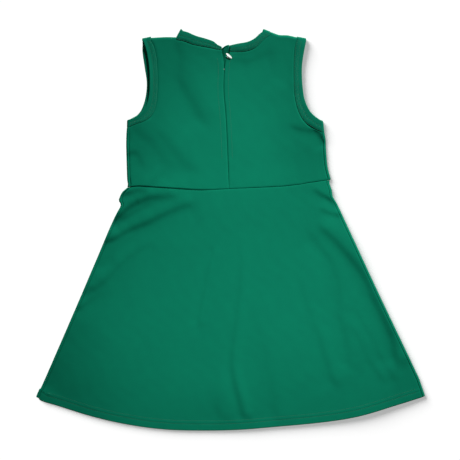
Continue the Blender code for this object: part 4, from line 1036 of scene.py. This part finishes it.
radius, half, shank = BUTTON_DIAMETER / 2, BUTTON_THICKNESS / 2, SHANK_DIAMETER / 2
profile = through([(0, half * 0.80), (radius * 0.35, half * 0.82), (radius * 0.62, half * 0.95),
                   (radius * 0.80, half), (radius * 0.93, half * 0.72), (radius, half * 0.10),
                   (radius * 0.95, -half * 0.45), (radius * 0.75, -half * 0.8), (shank * 1.3, -half),
                   (shank, -half - 0.5),
                   (shank, -half - SHANK_LENGTH + 0.3), (shank * 0.8, -half - SHANK_LENGTH),
                   (0, -half - SHANK_LENGTH)], even(44))
profile[0, 0] = profile[-1, 0] = 0.0
bm = bmesh.new()
verts = [bm.verts.new((x * MM, 0, z * MM)) for x, z in profile]
edges = [bm.edges.new(pair) for pair in zip(verts, verts[1:])]
bmesh.ops.spin(bm, geom=verts + edges, cent=(0, 0, 0), axis=(0, 0, 1), angle=math.tau, steps=48,
               use_merge=True)
bmesh.ops.remove_doubles(bm, verts=bm.verts, dist=0.00001)
bmesh.ops.recalc_face_normals(bm, faces=bm.faces)
lowest = radius * math.sin(BUTTON_LEAN) + 0.4
centre_height = float(upper(np.array([BUTTON_CENTRE]))[0]) + BUTTON_FOOT + lowest
turn = Matrix.Rotation(BUTTON_TURN, 4, "Z") @ Matrix.Rotation(BUTTON_LEAN, 4, "Y")
place = Matrix.Translation(Vector((*BUTTON_CENTRE, centre_height)) * MM) @ turn
bmesh.ops.transform(bm, matrix=place, verts=bm.verts)
button = dress_piece(finished("pearly_button", bm), pearl_material(), "pearl", "button")

# Sewing thread wound through the shank and down to the right edge of the slit
THREAD_FOOT = (2.5, 257.5, 5.2)
THREAD_TURNS = 5
bm = bmesh.new()
eye = place @ Vector((0, 0, -(half + SHANK_LENGTH) * MM)) / MM
foot = Vector(THREAD_FOOT)
for index in range(THREAD_TURNS):
    side = Vector((0.35 * (index - 2), 0.3 * (index % 2), 0.2 * (index % 3)))
    add_stitch(bm, eye + side, foot + side, 0.5)
button_thread = dress_piece(finished("button_thread", bm), thread, "band_knit")

# Floor, lights and camera: a white table under soft studio light, seen from straight above
VIEW_WIDTH = 690.0
VIEW_PLANE = 3.0
VIEW_MIDDLE = -0.7
LENS = 80.0
bm = bmesh.new()
bmesh.ops.create_grid(bm, x_segments=1, y_segments=1, size=3.0)
floor = finished("floor", bm)
white, tree, shader = new_material("white_table")
shader.inputs["Base Color"].default_value = linear("F4F4F4")
shader.inputs["Roughness"].default_value = 0.9
shader.inputs["Specular IOR Level"].default_value = 0.1
shader.inputs["Emission Color"].default_value = (1, 1, 1, 1)
shader.inputs["Emission Strength"].default_value = 0.39
floor.data.materials.append(white)


def light_group(name, objects, left_out=True):
    """What a lamp lights or is shaded by: all but the objects given, or only them."""
    group = bpy.data.collections.new(name)
    for index, thing in enumerate(objects):
        group.objects.link(thing)
        if left_out:
            group.collection_objects[index].light_linking.link_state = "EXCLUDE"
    return group


table_only = light_group("table_only", (floor,), left_out=False)
all_but_table = light_group("all_but_table", (floor,))
all_but_button = light_group("all_but_button", (button, button_thread, loop))
all_but_small = light_group("all_but_small", (floor, button_thread, loop))
loop_only = light_group("loop_only", (button_thread, loop), left_out=False)


def lamp(name, kind, place, target, watts, receivers, blockers=None, **settings):
    data = bpy.data.lights.new(name, kind)
    data.energy = watts
    for key, value in settings.items():
        setattr(data, key, value)
    made = bpy.data.objects.new(name, data)
    made.location = place
    made.rotation_euler = (Vector(target) - Vector(place)).to_track_quat("-Z", "Y").to_euler()
    made.visible_camera = False
    made.light_linking.receiver_collection = receivers
    made.light_linking.blocker_collection = blockers
    bpy.context.scene.collection.objects.link(made)


KEY_TARGET = Vector((0.125, -0.195, 0.0))
KEY_ELEVATION = math.radians(24)
KEY_SIDE = Vector((0.28, 0.96))
KEY_DISTANCE = 3.0
key_from = Vector((*(KEY_SIDE * math.cos(KEY_ELEVATION)), math.sin(KEY_ELEVATION)))
key_place = KEY_TARGET + KEY_DISTANCE * key_from
for name, receivers, blockers in (("key", all_but_small, all_but_button),
                                  ("key_on_loop", loop_only, None)):
    lamp(name, "SPOT", key_place, KEY_TARGET, 524.0, receivers, blockers, spot_size=math.radians(32.9),
         spot_blend=1.0, shadow_soft_size=0.25)
for name, x, y, watts, cone, size in (("overhead", 0.015, -0.134, 123.0, 11.9, 0.05),
                                      ("bodice_fill", -0.011, 0.144, 76.0, 5.28, 0.03)):
    lamp(name, "SPOT", (x, y, 3), (x, y, 0), watts, all_but_table, spot_size=math.radians(cone),
         spot_blend=1.0, shadow_soft_size=size)
lamp("table_sun", "SUN", (-1, 1, 0.7), (0, 0, 0), 4.6, table_only, angle=math.radians(40))
world = bpy.data.worlds.new("studio")
world.use_nodes = True
world.node_tree.nodes["Background"].inputs["Color"].default_value = (1, 1, 1, 1)
world.node_tree.nodes["Background"].inputs["Strength"].default_value = 0.06
bpy.context.scene.world = world
bpy.context.scene.view_settings.view_transform = "Standard"

camera_data = bpy.data.cameras.new("camera")
camera_data.lens = LENS
camera = bpy.data.objects.new("camera", camera_data)
distance = VIEW_WIDTH / camera_data.sensor_width * LENS
camera.location = (VIEW_MIDDLE * MM, 0.0, (distance + VIEW_PLANE) * MM)
bpy.context.scene.collection.objects.link(camera)
bpy.context.scene.camera = camera
